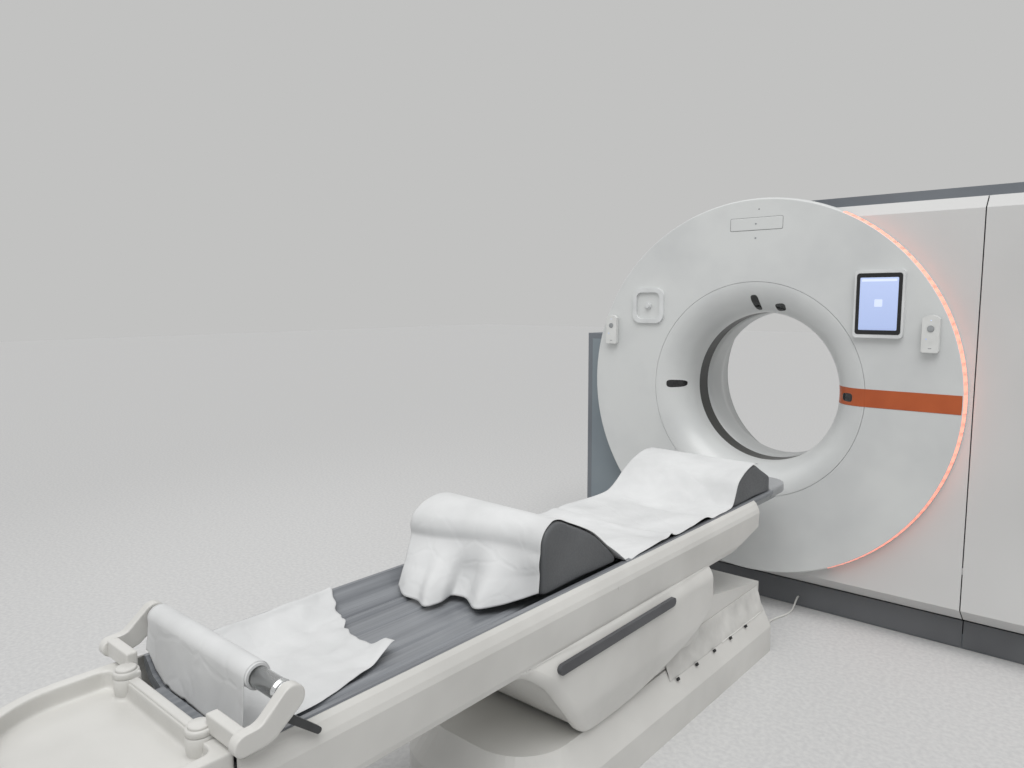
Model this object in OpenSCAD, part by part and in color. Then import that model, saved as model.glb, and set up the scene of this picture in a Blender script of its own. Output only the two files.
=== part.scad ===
// A computed tomography scanner: the ring-shaped gantry and the patient table in front of it.
// The origin is on the floor under the isocentre, +X to the right as seen from the table,
// +Y into the gantry and +Z up. The table stands in front, towards -Y.

/* [Gantry] */
// Height of the bore axis above the floor
iso_h = 1005; // [980:1:1040]
// Diameter of the patient bore
bore_d = 700; // [660:2:740]
// Diameter of the round front cover
disc_d = 1694; // [1660:2:1720]
// Rise of the round cover's centre above the bore axis
disc_rise = 9; // [0:1:16]
// Distance of the round cover's face in front of the scan plane
face_dist = 240; // [230:1:260]
// Distance of the rear face behind the scan plane
back_dist = 560; // [520:5:640]
// Depth of the rounded rim of the front cover
rim_deep = 33; // [24:1:40]
// Width of that rim seen from the front
rim_wide = 10; // [8:1:14]
// Step from the face of the round cover back to the side panels
wing_step = 45; // [42:1:60]
// Widest diameter of the trumpet mouth
mouth_d = 975; // [920:5:1020]
// Depth of the trumpet mouth
mouth_deep = 148; // [130:1:160]
// Widest diameter of the rear mouth
rear_mouth_d = 960; // [900:5:1000]
// Length of the straight tunnel behind the scan plane
tunnel_back = 240; // [200:5:300]
// Width of the dark scan window in the tunnel
window_w = 91; // [70:1:110]
// Wall thickness of the moulded covers
wall = 4; // [3:0.5:5]
// Reach of the gantry to the right of the bore axis
right_reach = 1300; // [1250:5:1400]
// Reach of the gantry to the left of the bore axis
left_reach = 980; // [960:5:1040]
// Height of the left shoulder
shoulder_h = 1236; // [1150:2:1300]
// Height of the slate core over the floor
core_h = 1842; // [1835:1:1860]
// Height where the side panel's top chamfer starts
wing_h = 1752; // [1740:1:1760]
// Place of the seam between side panel and cabinet
seam_x = 865; // [860:1:900]
// Width of the seam
seam_w = 4; // [2:1:8]
// Height of the plinth panels
plinth_h = 118; // [100:1:122]
// Distance of the plinth face in front of the scan plane
plinth_dist = 101; // [95:1:112]
// Half angle of the light strip on the rim
light_angle = 64; // [40:1:80]
// Height of the accent stripe
stripe_h = 74; // [50:1:90]

/* [Rotor] */
// Outer radius of the rotor plate
rotor_r = 745; // [720:1:750]
// Thickness of the rotor plate
rotor_t = 20; // [14:1:26]
// Outer radius of the rotor's bearing drum
drum_r = 392; // [386:1:396]
// Thickness of the bearing drum's wall
drum_t = 20; // [14:1:22]
// Running clearance of shafts in their bearings
run_gap = 0.05; // [0.02:0.01:0.1]
// Distance of the focal spot from the bore axis
focus_r = 535; // [520:1:560]
// Gap between the rotor drum and the detector
detector_gap = 23; // [20:1:45]
// Radius of the drive motor's pulley
pulley_r = 60; // [50:1:70]
// Distance of the drive motor from the bore axis
motor_dist = 930; // [900:5:950]

/* [Table] */
// Half width of the table base at the floor
base_half = 283; // [270:1:300]
// Height of the upright side of the base
base_side_h = 105; // [90:1:120]
// Height of the top of the base
base_h = 200; // [190:1:210]
// Inward run of the bevelled top edge of the base
base_bevel = 48; // [40:1:56]
// Distance from the scan plane to the gantry end of the base
base_near = 617; // [600:1:640]
// Length of the table base
base_len = 1543; // [1450:1:1600]
// Half width of the fixed lower cover
lower_half = 222; // [210:1:224]
// Height of the tall part of the lower cover
lower_h = 460; // [440:1:468]
// Half width of the shell that hangs from the beam
shell_half = 280; // [276:1:300]
// Length of the shell along its top edge
shell_len = 1100; // [1050:5:1150]
// Distance from the scan plane to the gantry end of the shell
shell_near = 1150; // [1145:1:1170]
// Gap between the nested covers
nest_gap = 7; // [6:0.5:9]
// Height of the underside of the beam
beam_z = 495; // [490:1:500]
// Half width of the beam at its widest
beam_half = 271; // [270:1:285]
// Distance from the scan plane to the gantry end of the beam
beam_near = 750; // [700:5:800]
// Length of the beam
beam_len = 2140; // [2100:5:2200]
// Half width of the cradle
cradle_half = 245; // [240:1:248]
// Height of the cradle's rim
rim_z = 645; // [640:1:650]
// Distance from the scan plane to the cradle's tip
tip_dist = 360; // [355:1:420]
// Length of the cradle
cradle_len = 2480; // [2420:5:2520]
// Thickness of the cradle's floor
floor_t = 15; // [10:1:18]
// Length of the foot tray
tray_len = 370; // [320:5:400]
// Depth of the recess in the foot tray
tray_deep = 38; // [25:1:42]
// Radius of the paper roll
roll_r = 26; // [24:1:34]
// Radius of the metal core of the roll
core_r = 20; // [12:0.5:21]
// Vertical travel of the table
lift_travel = 300; // [260:5:300]

/* [Hidden] */
$fn = 96;
e = 1;

white = [0.90, 0.90, 0.89];
light_grey = [0.80, 0.80, 0.80];
slate = [0.42, 0.45, 0.49];
dark = [0.20, 0.21, 0.22];
steel = [0.62, 0.64, 0.66];
orange = [0.68, 0.30, 0.11];

// Planes across the gantry
face_y = -face_dist;
wing_y = face_y + wing_step;
plinth_y = -plinth_dist;
core_y0 = -120;
core_y1 = back_dist - 80;
disc_r = disc_d / 2;
disc_z = iso_h + disc_rise;
bore_r = bore_d / 2;
mouth_r = mouth_d / 2;
rear_mouth_r = rear_mouth_d / 2;
lip_y = face_y + mouth_deep;
flange = 70;
panel_gap = 2;
drum_clear = 800;
cover_y1 = wing_y - 0.5;

// Points of an arc from angle a0 to a1 on an ellipse of half axes rx and ry
function ellipse_arc(cx, cy, rx, ry, a0, a1, n = 16) =
    [for (i = [0 : n]) [cx + rx * cos(a0 + (a1 - a0) * i / n), cy + ry * sin(a0 + (a1 - a0) * i / n)]];
function arc(cx, cy, r, a0, a1, n = 12) = ellipse_arc(cx, cy, r, r, a0, a1, n);
function backwards(p) = [for (i = [len(p) - 1 : -1 : 0]) p[i]];
// Plan of a body symmetrical about X = 0, with corner radius r0 at the foot and r1 at the gantry end
function plan(half, y0, y1, r0, r1) = concat(
    arc(half - r1, y1 - r1, r1, 0, 90, 6), arc(-half + r1, y1 - r1, r1, 90, 180, 6),
    arc(-half + r0, y0 + r0, r0, 180, 270, 10), arc(half - r0, y0 + r0, r0, 270, 360, 10));

// A flat shape drawn in X and Z, carried along Y
module along_y(y0, y1) translate([0, y1, 0]) rotate([90, 0, 0]) linear_extrude(y1 - y0) children();
// A flat shape drawn in Y and Z, carried along X
module along_x(x0, x1) translate([x0, 0, 0]) rotate([90, 0, 90]) linear_extrude(x1 - x0) children();
// A profile drawn as radius and Y, turned about the bore axis
module turned(z = iso_h) translate([0, 0, z]) rotate([-90, 0, 0]) rotate_extrude($fn = 180) children();
// The same over the angles a0 to a1, counted from +X upwards
module turned_part(a0, a1, z = iso_h)
    translate([0, 0, z]) rotate([-90, 0, 0]) rotate([0, 0, -a1]) rotate_extrude(angle = a1 - a0, $fn = 180)
        children();
// A plain rod along Y about a point in X and Z
module rod_y(x, z, r, y0, y1)
    translate([x, y0, z]) rotate([-90, 0, 0]) cylinder(r = r, h = y1 - y0, $fn = r > 200 ? 180 : 96);
module rod_x(y, z, r, x0, x1) translate([x0, y, z]) rotate([0, 90, 0]) cylinder(r = r, h = x1 - x0);
// A box from its two corners
module block(a, b) translate(a) cube(b - a);
// A square with rounded corners, centred
module soft_square(w, h, r) {
    square([w - 2 * r, h], center = true);
    square([w, h - 2 * r], center = true);
    for (x = [-1, 1]) for (y = [-1, 1])
        translate([x * (w / 2 - r), y * (h / 2 - r)]) circle(r = r, $fn = 32);
}

// Gantry frame and floor anchors
frame_x0 = -left_reach + 2 * wall;
frame_x1 = right_reach - 2 * wall;
frame_y0 = plinth_y + wall;
frame_y1 = core_y1 - wall;
frame_h = 60;
frame_t = 12;
beam_w = 40;
anchor_r = 9;
anchor_x = [-900, 1200];
anchor_y = [-40, 400];
stator_y0 = 170;
stator_y1 = 200;
stator_r = 640;
race_r = drum_r + 38;
race_y0 = 150;
race_y1 = 220;
motor_angle = -35;
motor_x = motor_dist * cos(motor_angle);
motor_z = iso_h + motor_dist * sin(motor_angle);
shaft_r = 20;
motor_r = 85;
motor_len = 160;
shaft_deep = 55;

module base_frame() color(steel) difference() {
    union() {
        block([frame_x0, frame_y0, 0], [frame_x1, frame_y1, frame_t]);
        for (rail = [[frame_y0, beam_w], [(stator_y0 + stator_y1) / 2 - beam_w, 2 * beam_w],
            [frame_y1 - beam_w, beam_w]])
            block([frame_x0, rail[0], 0], [frame_x1, rail[0] + rail[1], frame_h]);
        for (i = [0 : 6])
            translate([frame_x0 + i * (frame_x1 - frame_x0 - beam_w) / 6, frame_y0, 0])
                cube([beam_w, frame_y1 - frame_y0, frame_h]);
        // Posts at both ends carry the covers on short pads
        for (y = [frame_y0 + beam_w, frame_y1 - 2 * beam_w]) {
            block([frame_x0, y, frame_t], [frame_x0 + beam_w, y + beam_w, shoulder_h - 80]);
            block([frame_x1 - beam_w, y, frame_t], [frame_x1, y + beam_w, core_h - 80]);
            for (z = [200, shoulder_h - 180]) {
                block([frame_x0 - wall, y, z], [frame_x0, y + beam_w, z + 60]);
                block([frame_x1, y, z], [frame_x1 + wall, y + beam_w, z + 60]);
            }
        }
    }
    for (x = anchor_x) for (y = anchor_y)
        translate([x, y, -e]) cylinder(r = anchor_r, h = frame_h + 2 * e);
}

module stator_frame() color(steel) {
    difference() {
        along_y(stator_y0, stator_y1) {
            translate([0, iso_h]) circle(r = stator_r, $fn = 180);
            polygon([[-stator_r - 60, frame_h], [stator_r + 60, frame_h], [stator_r - 120, iso_h - 300],
                [-stator_r + 120, iso_h - 300]]);
            polygon([[300, iso_h - 650], [motor_x + 70, motor_z - 90], [motor_x + 110, motor_z],
                [motor_x + 70, motor_z + 90], [300, iso_h - 200]]);
        }
        rod_y(0, iso_h, race_r, stator_y0 - e, stator_y1 + e);
        rod_y(motor_x, motor_z, shaft_r + 3, stator_y0 - e, stator_y1 + e);
    }
    for (s = [-1, 1])
        block([s < 0 ? -stator_r - 60 : stator_r - 140, stator_y0 - 30, frame_h],
            [s < 0 ? -stator_r + 140 : stator_r + 60, stator_y1 + 30, frame_h + 20]);
}

module outer_race() color(steel)
    turned() difference() {
        translate([drum_r + run_gap, race_y0]) square([race_r - drum_r - run_gap, race_y1 - race_y0]);
        translate([race_r - 12, race_y1 - 10]) square([6, 20]);
    }

module brush_block() color(dark) {
    turned_part(-100, -80) translate([drum_r + 100, stator_y1]) square([40, 75]);
    turned_part(-96, -84) translate([drum_r + 30, slip_y1 + 0.3]) square([70.5, 14]);
}

module drive_motor() color(steel) difference() {
    union() {
        rod_y(motor_x, motor_z, motor_r, stator_y1, stator_y1 + motor_len);
        for (a = [45 : 90 : 315])
            rod_y(motor_x + (motor_r + 8) * cos(a), motor_z + (motor_r + 8) * sin(a), 12,
                stator_y1, stator_y1 + 14);
    }
    rod_y(motor_x, motor_z, shaft_r + run_gap, stator_y1 - e, stator_y1 + shaft_deep + e);
}

plate_y1 = 100;
plate_y0 = plate_y1 - rotor_t;
belt_gap = 0.6;
belt_t = 4;

module belt_outline(off) hull() {
    translate([0, iso_h]) circle(r = rotor_r + off, $fn = 120);
    translate([motor_x, motor_z]) circle(r = pulley_r + off, $fn = 48);
}

module drive_belt() color(dark) along_y(plate_y0 + 3, plate_y1 - 3) difference() {
    belt_outline(belt_gap + belt_t);
    belt_outline(belt_gap);
}

module rotor_drum() color(steel) {
    difference() {
        turned() {
            translate([drum_r - drum_t, plate_y0]) square([drum_t, slip_y0 - plate_y0]);
            translate([drum_r - drum_t, plate_y0]) square([rotor_r - drum_r + drum_t, rotor_t]);
        }
        for (a = [15 : 30 : 345])
            rod_y(700 * cos(a), iso_h + 700 * sin(a), 14, plate_y0 - e, plate_y1 + e);
    }
}

slip_y0 = 240;
slip_y1 = 256;
tube_r = 95;
tube_len = 210;

module x_ray_tube() color(light_grey) {
    rod_y(0, iso_h + focus_r + 25, tube_r, plate_y0 - tube_len, plate_y0);
    rod_y(0, iso_h + focus_r + 25, 40, plate_y0 - tube_len - 25, plate_y0 - tube_len);
}

module collimator() color(steel)
    along_y(-45, plate_y0) polygon([[-70, iso_h + drum_r + 12], [70, iso_h + drum_r + 12],
        [45, iso_h + focus_r - tube_r + 18], [-45, iso_h + focus_r - tube_r + 18]]);

// The detector is an arc about the focal spot
// The detector lies past the drum as seen from the focus, which is beyond the bore axis
detector_r = focus_r + drum_r + detector_gap;
module detector_arc() color(dark)
    translate([0, 0, iso_h + focus_r]) rotate([-90, 0, 0]) rotate([0, 0, 90 - 26])
        rotate_extrude(angle = 52, $fn = 240) translate([detector_r, -60]) square([60, 60 + plate_y0]);

module generator() color(slate)
    turned_part(150, 205) translate([drum_r + 38, -70]) square([250, 70 + plate_y0]);

module heat_exchanger() color(light_grey) difference() {
    turned_part(-25, 30) translate([drum_r + 38, -70]) square([250, 70 + plate_y0]);
    for (a = [-20 : 5 : 25])
        turned_part(a, a + 1.5) translate([drum_r + 60, -71]) square([206, 30]);
}

module slip_ring() color([0.72, 0.52, 0.30]) turned() difference() {
    translate([drum_r - drum_t, slip_y0]) square([108, slip_y1 - slip_y0]);
    for (i = [0 : 3]) translate([drum_r + 10 + i * 20, slip_y1 - 3]) square([8, 4]);
}

module motor_pulley() color(steel) {
    difference() {
        rod_y(motor_x, motor_z, pulley_r, plate_y0 - 2, plate_y1 + 2);
        for (a = [0 : 60 : 300])
            rod_y(motor_x + 38 * cos(a), motor_z + 38 * sin(a), 9, plate_y0 - 3, plate_y1 + 3);
    }
    rod_y(motor_x, motor_z, shaft_r, plate_y1 + 2, stator_y1 + shaft_deep);
}

module power_cabinet() color(slate) difference() {
    block([seam_x + 65, frame_y0 + 20, frame_h], [frame_x1 - 40, core_y1 - 60, core_h - 320]);
    for (i = [0 : 11])
        block([seam_x + 115, frame_y0 + 19, 900 + i * 30], [frame_x1 - 90, frame_y0 + 26, 912 + i * 30]);
}

// The rounded rim of the front cover, moved inwards by off
function rim_curve(off, a0 = 0, a1 = 90) = [for (i = [0 : 16])
    [disc_r - rim_wide + (rim_wide - off) * sin(a0 + (a1 - a0) * i / 16),
     face_y + rim_deep - (rim_deep - off) * cos(a0 + (a1 - a0) * i / 16)]];
light_t = 2.5;
light_a0 = 18;

module light_profile() polygon(concat(rim_curve(0, light_a0), backwards(rim_curve(light_t, light_a0))));

module front_cover() color(white) difference() {
    turned(disc_z) polygon(concat([[0, face_y]], rim_curve(0),
        [[disc_r, cover_y1], [drum_clear - wall, cover_y1]],
        [[drum_clear - wall, cover_y1 - wall], [disc_r - wall, cover_y1 - wall]],
        backwards(rim_curve(wall)), [[0, face_y + wall]]));
    rod_y(0, iso_h, mouth_r + 1.5, face_y - e, face_y + wall + e);
    turned_part(-light_angle, light_angle, disc_z) light_profile();
}

module light_ring() color([1.0, 0.55, 0.45]) turned_part(-light_angle, light_angle, disc_z) light_profile();

// The trumpet wall between two offsets from its visible face, positive into the wall
function trumpet(off) =
    ellipse_arc(mouth_r, lip_y, -(mouth_r - bore_r - off), -(mouth_deep - off), 90, 0, 24);
window_y = window_w / 2;
lip_w = 30;

module front_funnel() color(white) turned() {
    polygon(concat(trumpet(0), backwards(trumpet(wall))));
    translate([mouth_r - e, face_y + wall]) square([lip_w, wall]);
    translate([bore_r, lip_y]) square([wall, -window_y - lip_y]);
}

module scan_window() color([0.2, 0.2, 0.19])
    turned() translate([bore_r + 1.5, -window_y]) square([wall - 1.5, window_w]);

function rear_flare(off) = ellipse_arc(rear_mouth_r, tunnel_back, -(rear_mouth_r - bore_r - off),
    back_dist - tunnel_back - off, 0, 90, 24);

module rear_funnel() color(white) turned() {
    translate([bore_r, window_y]) square([wall, tunnel_back - window_y]);
    polygon(concat(rear_flare(0), backwards(rear_flare(wall))));
    translate([rear_mouth_r - e, back_dist - 2 * wall]) square([lip_w, wall]);
}

// Outline of the gantry's body behind the round cover, stepped inwards by d
module core_outline(d, z0 = 126) {
    translate([0, disc_z]) circle(r = drum_clear - d, $fn = 180);
    translate([d, z0]) square([right_reach - 2 * d, core_h - d - z0]);
    translate([-left_reach + d, z0]) square([left_reach, shoulder_h - d - z0]);
}

module core_cover() color(slate) {
    along_y(core_y0, core_y1) difference() {
        core_outline(0);
        core_outline(wall, 125);
    }
    along_y(core_y0, core_y0 + wall) difference() {
        core_outline(wall - 0.5);
        core_outline(flange, 125);
        translate([0, disc_z]) circle(r = drum_clear - wall, $fn = 180);
    }
    along_y(core_y1 - wall, core_y1) difference() {
        core_outline(wall - 0.5);
        core_outline(lip_w, 125);
    }
    turned(disc_z) translate([drum_clear - wall, cover_y1]) square([wall, core_y0 - cover_y1 + e]);
}

module rear_cover() color(white) difference() {
    along_y(core_y1, back_dist) core_outline(8);
    along_y(core_y1 - e, back_dist - wall) core_outline(8 + wall, 125);
    rod_y(0, iso_h, rear_mouth_r + 1.5, core_y1, back_dist + e);
    for (i = [0 : 9]) for (s = [0, 1])
        block([seam_x - 40 + s * 190, back_dist - wall - e, 420 + i * 34],
            [seam_x + 110 + s * 190, back_dist + e, 430 + i * 34]);
}

// Section of the side panels in Y and Z: bevel at the bottom, upright face, chamfer at the top
sill_h = 190;
panel_foot = 130;
panel_top = wing_h + 48;
left_foot = sill_h + 74;
function panel_path(d) = [[core_y0, panel_foot + d * 1.28],
    [wing_y + d, sill_h + d * 0.4], [wing_y + d, wing_h - d * 0.4],
    [wing_y + 45 + d * 0.4, panel_top - d], [core_y0, panel_top - d]];

module panel_skin(x0, x1) along_x(x0, x1) polygon(concat(panel_path(0), backwards(panel_path(wall))));

module side_panel() color(light_grey) difference() {
    panel_skin(-left_reach + flange + panel_gap, seam_x - seam_w / 2);
    rod_y(0, disc_z, drum_clear + 0.5, wing_y - e, core_y0 + e);
    block([-left_reach, wing_y - e, left_foot - panel_gap], [0, core_y0 + e, panel_top + e]);
}

module cabinet_panel() color(light_grey) {
    panel_skin(seam_x + seam_w / 2, right_reach - wall);
    along_x(right_reach - wall, right_reach)
        polygon(concat(panel_path(0), [[core_y0, panel_foot]]));
}

module left_panel() color([0.33, 0.36, 0.40]) along_y(core_y0 - wall, core_y0) difference() {
    translate([-left_reach + 30, left_foot]) square([left_reach - 120, shoulder_h - 30 - left_foot]);
    translate([0, disc_z]) circle(r = drum_clear + 0.5, $fn = 180);
}

module plinth_panels() color([0.40, 0.43, 0.46]) {
    x0 = frame_x0 - wall;
    x1 = frame_x1 + wall;
    block([x0, plinth_y, 4], [seam_x - seam_w / 2, plinth_y + wall, plinth_h]);
    block([seam_x + seam_w / 2, plinth_y, 4], [x1, plinth_y + wall, plinth_h]);
    for (x = [x0, x1 - wall]) block([x, plinth_y + wall - e, 4], [x + wall, core_y1 - wall + e, plinth_h]);
    block([x0, core_y1 - wall, 4], [x1, core_y1, plinth_h]);
}

stripe_t = 0.8;
// Thickness of the adhesive under the stripe and the windows
glue = 0.05;

module accent_stripe() color(orange) intersection() {
    difference() {
        turned() {
            polygon(concat(trumpet(-stripe_t), backwards(trumpet(-glue))));
            translate([mouth_r, face_y - stripe_t]) square([disc_r, stripe_t - glue]);
            translate([bore_r - stripe_t, lip_y]) square([stripe_t - glue, 30]);
        }
        along_y(face_y - wall, 0) at_angle(0) window_shape(3);
    }
    along_y(face_y - wall, 0) intersection() {
        translate([0, iso_h + 5 - stripe_h / 2]) square([disc_r, stripe_h]);
        translate([0, disc_z]) circle(r = disc_r - rim_wide - 1, $fn = 180);
    }
}

// The four sensor windows on the trumpet, each with its angle, radius, length along the radius and width
windows = [[90, 396, 66, 20], [75, 389, 46, 26], [180, 400, 60, 26], [0, 411, 48, 30]];
module at_angle(a) translate([0, iso_h]) rotate(a) children();
module slot_shape(r, l, w, d) translate([r, 0]) {
    square([l - w, w + 2 * d], center = true);
    for (s = [-1, 1]) translate([s * (l - w) / 2, 0]) circle(d = w + 2 * d, $fn = 32);
}
module window_shape(k, d = 0) slot_shape(windows[k][1], windows[k][2], windows[k][3], d);

module sensor_windows() color([0.05, 0.05, 0.06]) intersection() {
    turned() polygon(concat(trumpet(-1.2), backwards(trumpet(-glue))));
    along_y(face_y - wall, 0) for (k = [0 : 3]) at_angle(windows[k][0]) window_shape(k);
}

// Docks and controls on the round cover
dock_t = 20;
tablet_w = 170;
tablet_h = 244;
tablet_x = 526;
tablet_z = iso_h + 390;
tablet_t = 9;

module tablet_dock() color(white) difference() {
    along_y(face_y - dock_t, face_y) translate([tablet_x, tablet_z])
        soft_square(tablet_w + 18, tablet_h + 30, 16);
    along_y(face_y - dock_t - e, face_y - dock_t + tablet_t) translate([tablet_x, tablet_z])
        soft_square(tablet_w + 0.6, tablet_h + 0.6, 11.3);
}

module tablet() color(dark)
    along_y(face_y - dock_t - 1, face_y - dock_t + tablet_t) translate([tablet_x, tablet_z])
        soft_square(tablet_w, tablet_h, 11);

dock_x = -535;
dock_z = iso_h + 381;
dock_w = 172;

module empty_dock() color(white) {
    along_y(face_y - 12, face_y) translate([dock_x, dock_z]) difference() {
        soft_square(dock_w, dock_w, 42);
        soft_square(dock_w - 44, dock_w - 44, 26);
    }
    rod_y(dock_x, dock_z, 17, face_y - 8, face_y);
    rod_y(dock_x, dock_z, 12, face_y - 16, face_y - 8);
}

remote_w = 62;
remote_h = 146;
remote_t = 18;
remote_x = [719, -738];
remote_z = [iso_h + 275, iso_h + 260];
holder_t = 8;
key_r = 12;
key_up = 2;
key_drop = 20;

module remote_outline(d) {
    translate([0, -12]) soft_square(remote_w - 2 * d, remote_h - 24 - 2 * d, 9);
    translate([0, remote_h / 2 - 40]) circle(r = remote_w / 2 + 9 - d, $fn = 64);
}

module remote_shape(d) intersection() {
    remote_outline(d);
    square([remote_w - 2 * d, remote_h - 2 * d], center = true);
}

module remote_holders() color(light_grey) for (k = [0, 1])
    along_y(face_y - holder_t, face_y) translate([remote_x[k], remote_z[k]]) remote_shape(4);

module remotes() color(white) for (k = [0, 1]) difference() {
    along_y(face_y - holder_t - remote_t, face_y - holder_t)
        translate([remote_x[k], remote_z[k]]) remote_shape(0);
    rod_y(remote_x[k], remote_z[k] + key_drop, key_r + 0.3, face_y - holder_t - remote_t - e,
        face_y - holder_t - remote_t + 5);
}

module button(k) color(light_grey)
    rod_y(remote_x[k], remote_z[k] + key_drop, key_r, face_y - holder_t - remote_t - key_up,
        face_y - holder_t - remote_t + 3);
module right_button() button(0);
module left_button() button(1);

// Table base
base_y1 = -base_near;
base_y0 = base_y1 - base_len;
foot_r = 200;
plate_half = base_half - 30;
col_y = -1500;
col_half = 130;
col_long = 170;
col_wall = 12;
motor_y = col_y + col_long + 85;
lift_r = 62;
guide_gap = 3;
shell_y1 = -shell_near;
shell_y0 = shell_y1 - shell_len;
tall_y1 = shell_y1 - wall - 2 * nest_gap;
tall_y0 = -1820;
plate_t = 20;

module base_body(d, z0, lid) hull() {
    translate([0, 0, z0]) linear_extrude(base_side_h - z0 - d * 0.3)
        polygon(plan(base_half - d, base_y0 + d, base_y1 - d, foot_r - d, 12 - d));
    translate([0, 0, base_h - lid - 1]) linear_extrude(1)
        polygon(plan(base_half - base_bevel - d, base_y0 + 60 + d, base_y1 - d, foot_r - 30 - d, 12 - d));
}

module base_cover() color(white) difference() {
    base_body(0, 0, 0);
    base_body(wall, -e, wall);
    block([-col_half - 10, col_y - col_long - 20, base_h - 3 * wall],
        [col_half + 10, motor_y + lift_r + 6, base_h + e]);
}

anchor2_x = plate_half - 40;
anchor2_y = [base_y0 + 180, base_y1 - 80];

module base_plate() color(steel) difference() {
    linear_extrude(plate_t)
        polygon(plan(base_half - wall, base_y0 + wall, base_y1 - wall, foot_r - wall, 12 - wall));
    for (s = [-1, 1]) for (y = anchor2_y)
        translate([s * anchor2_x, y, -e]) cylinder(r = anchor_r, h = plate_t + 2 * e);
    translate([0, col_y, 8]) cylinder(r = screw_r + run_gap, h = plate_t);
}

wedge_h = 275;
wedge_top = 366;

module lower_profile(d) polygon([[base_y1 - d, base_h - d * 2], [base_y1 - d, wedge_h - d],
    [tall_y1 - d, wedge_top - d], [tall_y1 - d, lower_h - d], [tall_y0 + d, lower_h - d],
    [tall_y0 + d, base_h - d * 2]]);

module lower_cover() color(white) difference() {
    along_x(-lower_half, lower_half) intersection() {
        lower_profile(0);
        translate([-3000, base_h]) square([3000, 2000]);
    }
    along_x(-lower_half + wall, lower_half - wall) lower_profile(wall);
    block([-col_half + 4, col_y - col_long + 4, lower_h - 2 * wall],
        [col_half - 4, col_y + col_long - 4, lower_h + e]);
}

mid_half = lower_half + nest_gap;
mid_z0 = base_h + 6;
mid_z1 = beam_z - 23;

module mid_cover() color(light_grey) {
    slide_pads();
    mid_wall();
}

module mid_wall() difference() {
    block([-mid_half - wall, tall_y0 - nest_gap - wall, mid_z0],
        [mid_half + wall, tall_y1 + nest_gap + wall, mid_z1]);
    block([-mid_half, tall_y0 - nest_gap, mid_z0 - e], [mid_half, tall_y1 + nest_gap, mid_z1 + e]);
    block([-mid_half, tall_y1, mid_z0 - e],
        [mid_half, tall_y1 + 2 * nest_gap + wall, wedge_top + nest_gap]);
}

// Slide pads between the mid cover and the lower cover
module slide_pads() for (s = [-1, 1]) for (y = [tall_y0 + 120, tall_y1 - 160])
    block([s < 0 ? -mid_half - e : mid_half - nest_gap + 0.3, y, mid_z0],
        [s < 0 ? -mid_half + nest_gap - 0.3 : mid_half + e, y + 40, mid_z0 + 30]);

col_top = lower_h - wall;
screw_r = 20;

module outer_column() color(steel) difference() {
    block([-col_half, col_y - col_long, plate_t], [col_half, col_y + col_long, col_top]);
    block([-col_half + col_wall, col_y - col_long + col_wall, plate_t - e],
        [col_half - col_wall, col_y + col_long - col_wall, col_top + e]);
    block([-40, col_y + col_long - 2 * col_wall, plate_t - e], [40, col_y + col_long + e, plate_t + 45]);
}

inner_half = col_half - col_wall - guide_gap;
inner_long = col_long - col_wall - guide_gap;
inner_z0 = 70;
pad = guide_gap - 0.1;

// The inner column carries its guide pads and the lift nut
module inner_column() color(steel) {
    difference() {
        block([-inner_half, col_y - inner_long, inner_z0], [inner_half, col_y + inner_long, beam_z + 5]);
        block([-inner_half + 10, col_y - inner_long + 10, inner_z0 + 25],
            [inner_half - 10, col_y + inner_long - 10, beam_z - 7]);
        translate([0, col_y, inner_z0 - e]) cylinder(r = screw_r + run_gap, h = 30);
    }
    for (z = [inner_z0 + 10, inner_z0 + 240]) for (s = [-1, 1]) {
        block([s < 0 ? -inner_half - pad : inner_half, col_y - 60, z],
            [s < 0 ? -inner_half : inner_half + pad, col_y + 60, z + 60]);
        block([-60, s < 0 ? col_y - inner_long - pad : col_y + inner_long, z],
            [60, s < 0 ? col_y - inner_long : col_y + inner_long + pad, z + 60]);
    }
}

module lift_motor() color(dark) {
    translate([0, motor_y, plate_t]) cylinder(r = lift_r, h = 190);
    translate([0, motor_y, plate_t + 190]) cylinder(r = 30, h = 20);
}

module lift_screw() color(steel) translate([0, col_y, 0]) {
    translate([0, 0, 8.2]) cylinder(r = screw_r, h = 420);
    translate([0, 0, plate_t + 3]) cylinder(r = 45, h = 24);
}

// The cloth skirt closes the gap between the lower cover and the base on each side
skirt_y1 = base_y1 - 22;
skirt_mid = shell_y1 + 8;
skirt_y0 = skirt_mid - 250;
cloth_t = 4;
hem_z = 167;
hem_x = base_half - base_bevel * (hem_z - base_side_h) / (base_h - base_side_h) + 2.5;
fold_x = lower_half + 17;
fold_z = base_h + 3.5;

module skirt_side() {
    along_y(skirt_mid, skirt_y1) polygon([[lower_half + 0.5, 262], [fold_x, fold_z], [hem_x, hem_z],
        [hem_x + cloth_t, hem_z + 1], [fold_x + cloth_t, fold_z + 1], [lower_half + 0.5 + cloth_t, 262]]);
    along_y(skirt_y0, skirt_mid) polygon([[fold_x, fold_z], [hem_x, hem_z],
        [hem_x + cloth_t, hem_z + 1], [fold_x + cloth_t, fold_z + 1]]);
}

module skirt() color(light_grey) {
    skirt_side();
    mirror([1, 0, 0]) skirt_side();
}

module clips() color(dark) for (s = [-1, 1]) for (i = [0 : 4])
    translate([s * (hem_x + 6.5), skirt_y0 + 40 + i * 133, hem_z - 3])
        rotate([0, s * 60, 0]) cube([9, 14, 5], center = true);

// The cable from the table base to the gantry, as round numbers along its route
cable_r = 4;
cable_path = [[214, -617, 140], [214, -600, 140], [216, -575, 134], [226, -556, 112], [236, -548, 76],
    [238, -542, 40], [232, -528, 14], [218, -500, 5], [196, -456, 5], [180, -410, 5], [176, -360, 5],
    [184, -310, 5], [198, -264, 5], [206, -216, 5], [206, -180, 8], [204, -150, 20], [204, -126, 38],
    [204, -110, 45], [204, -101, 45]];
module table_cable() color(white) tube(cable_path, cable_r, 8);

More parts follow.
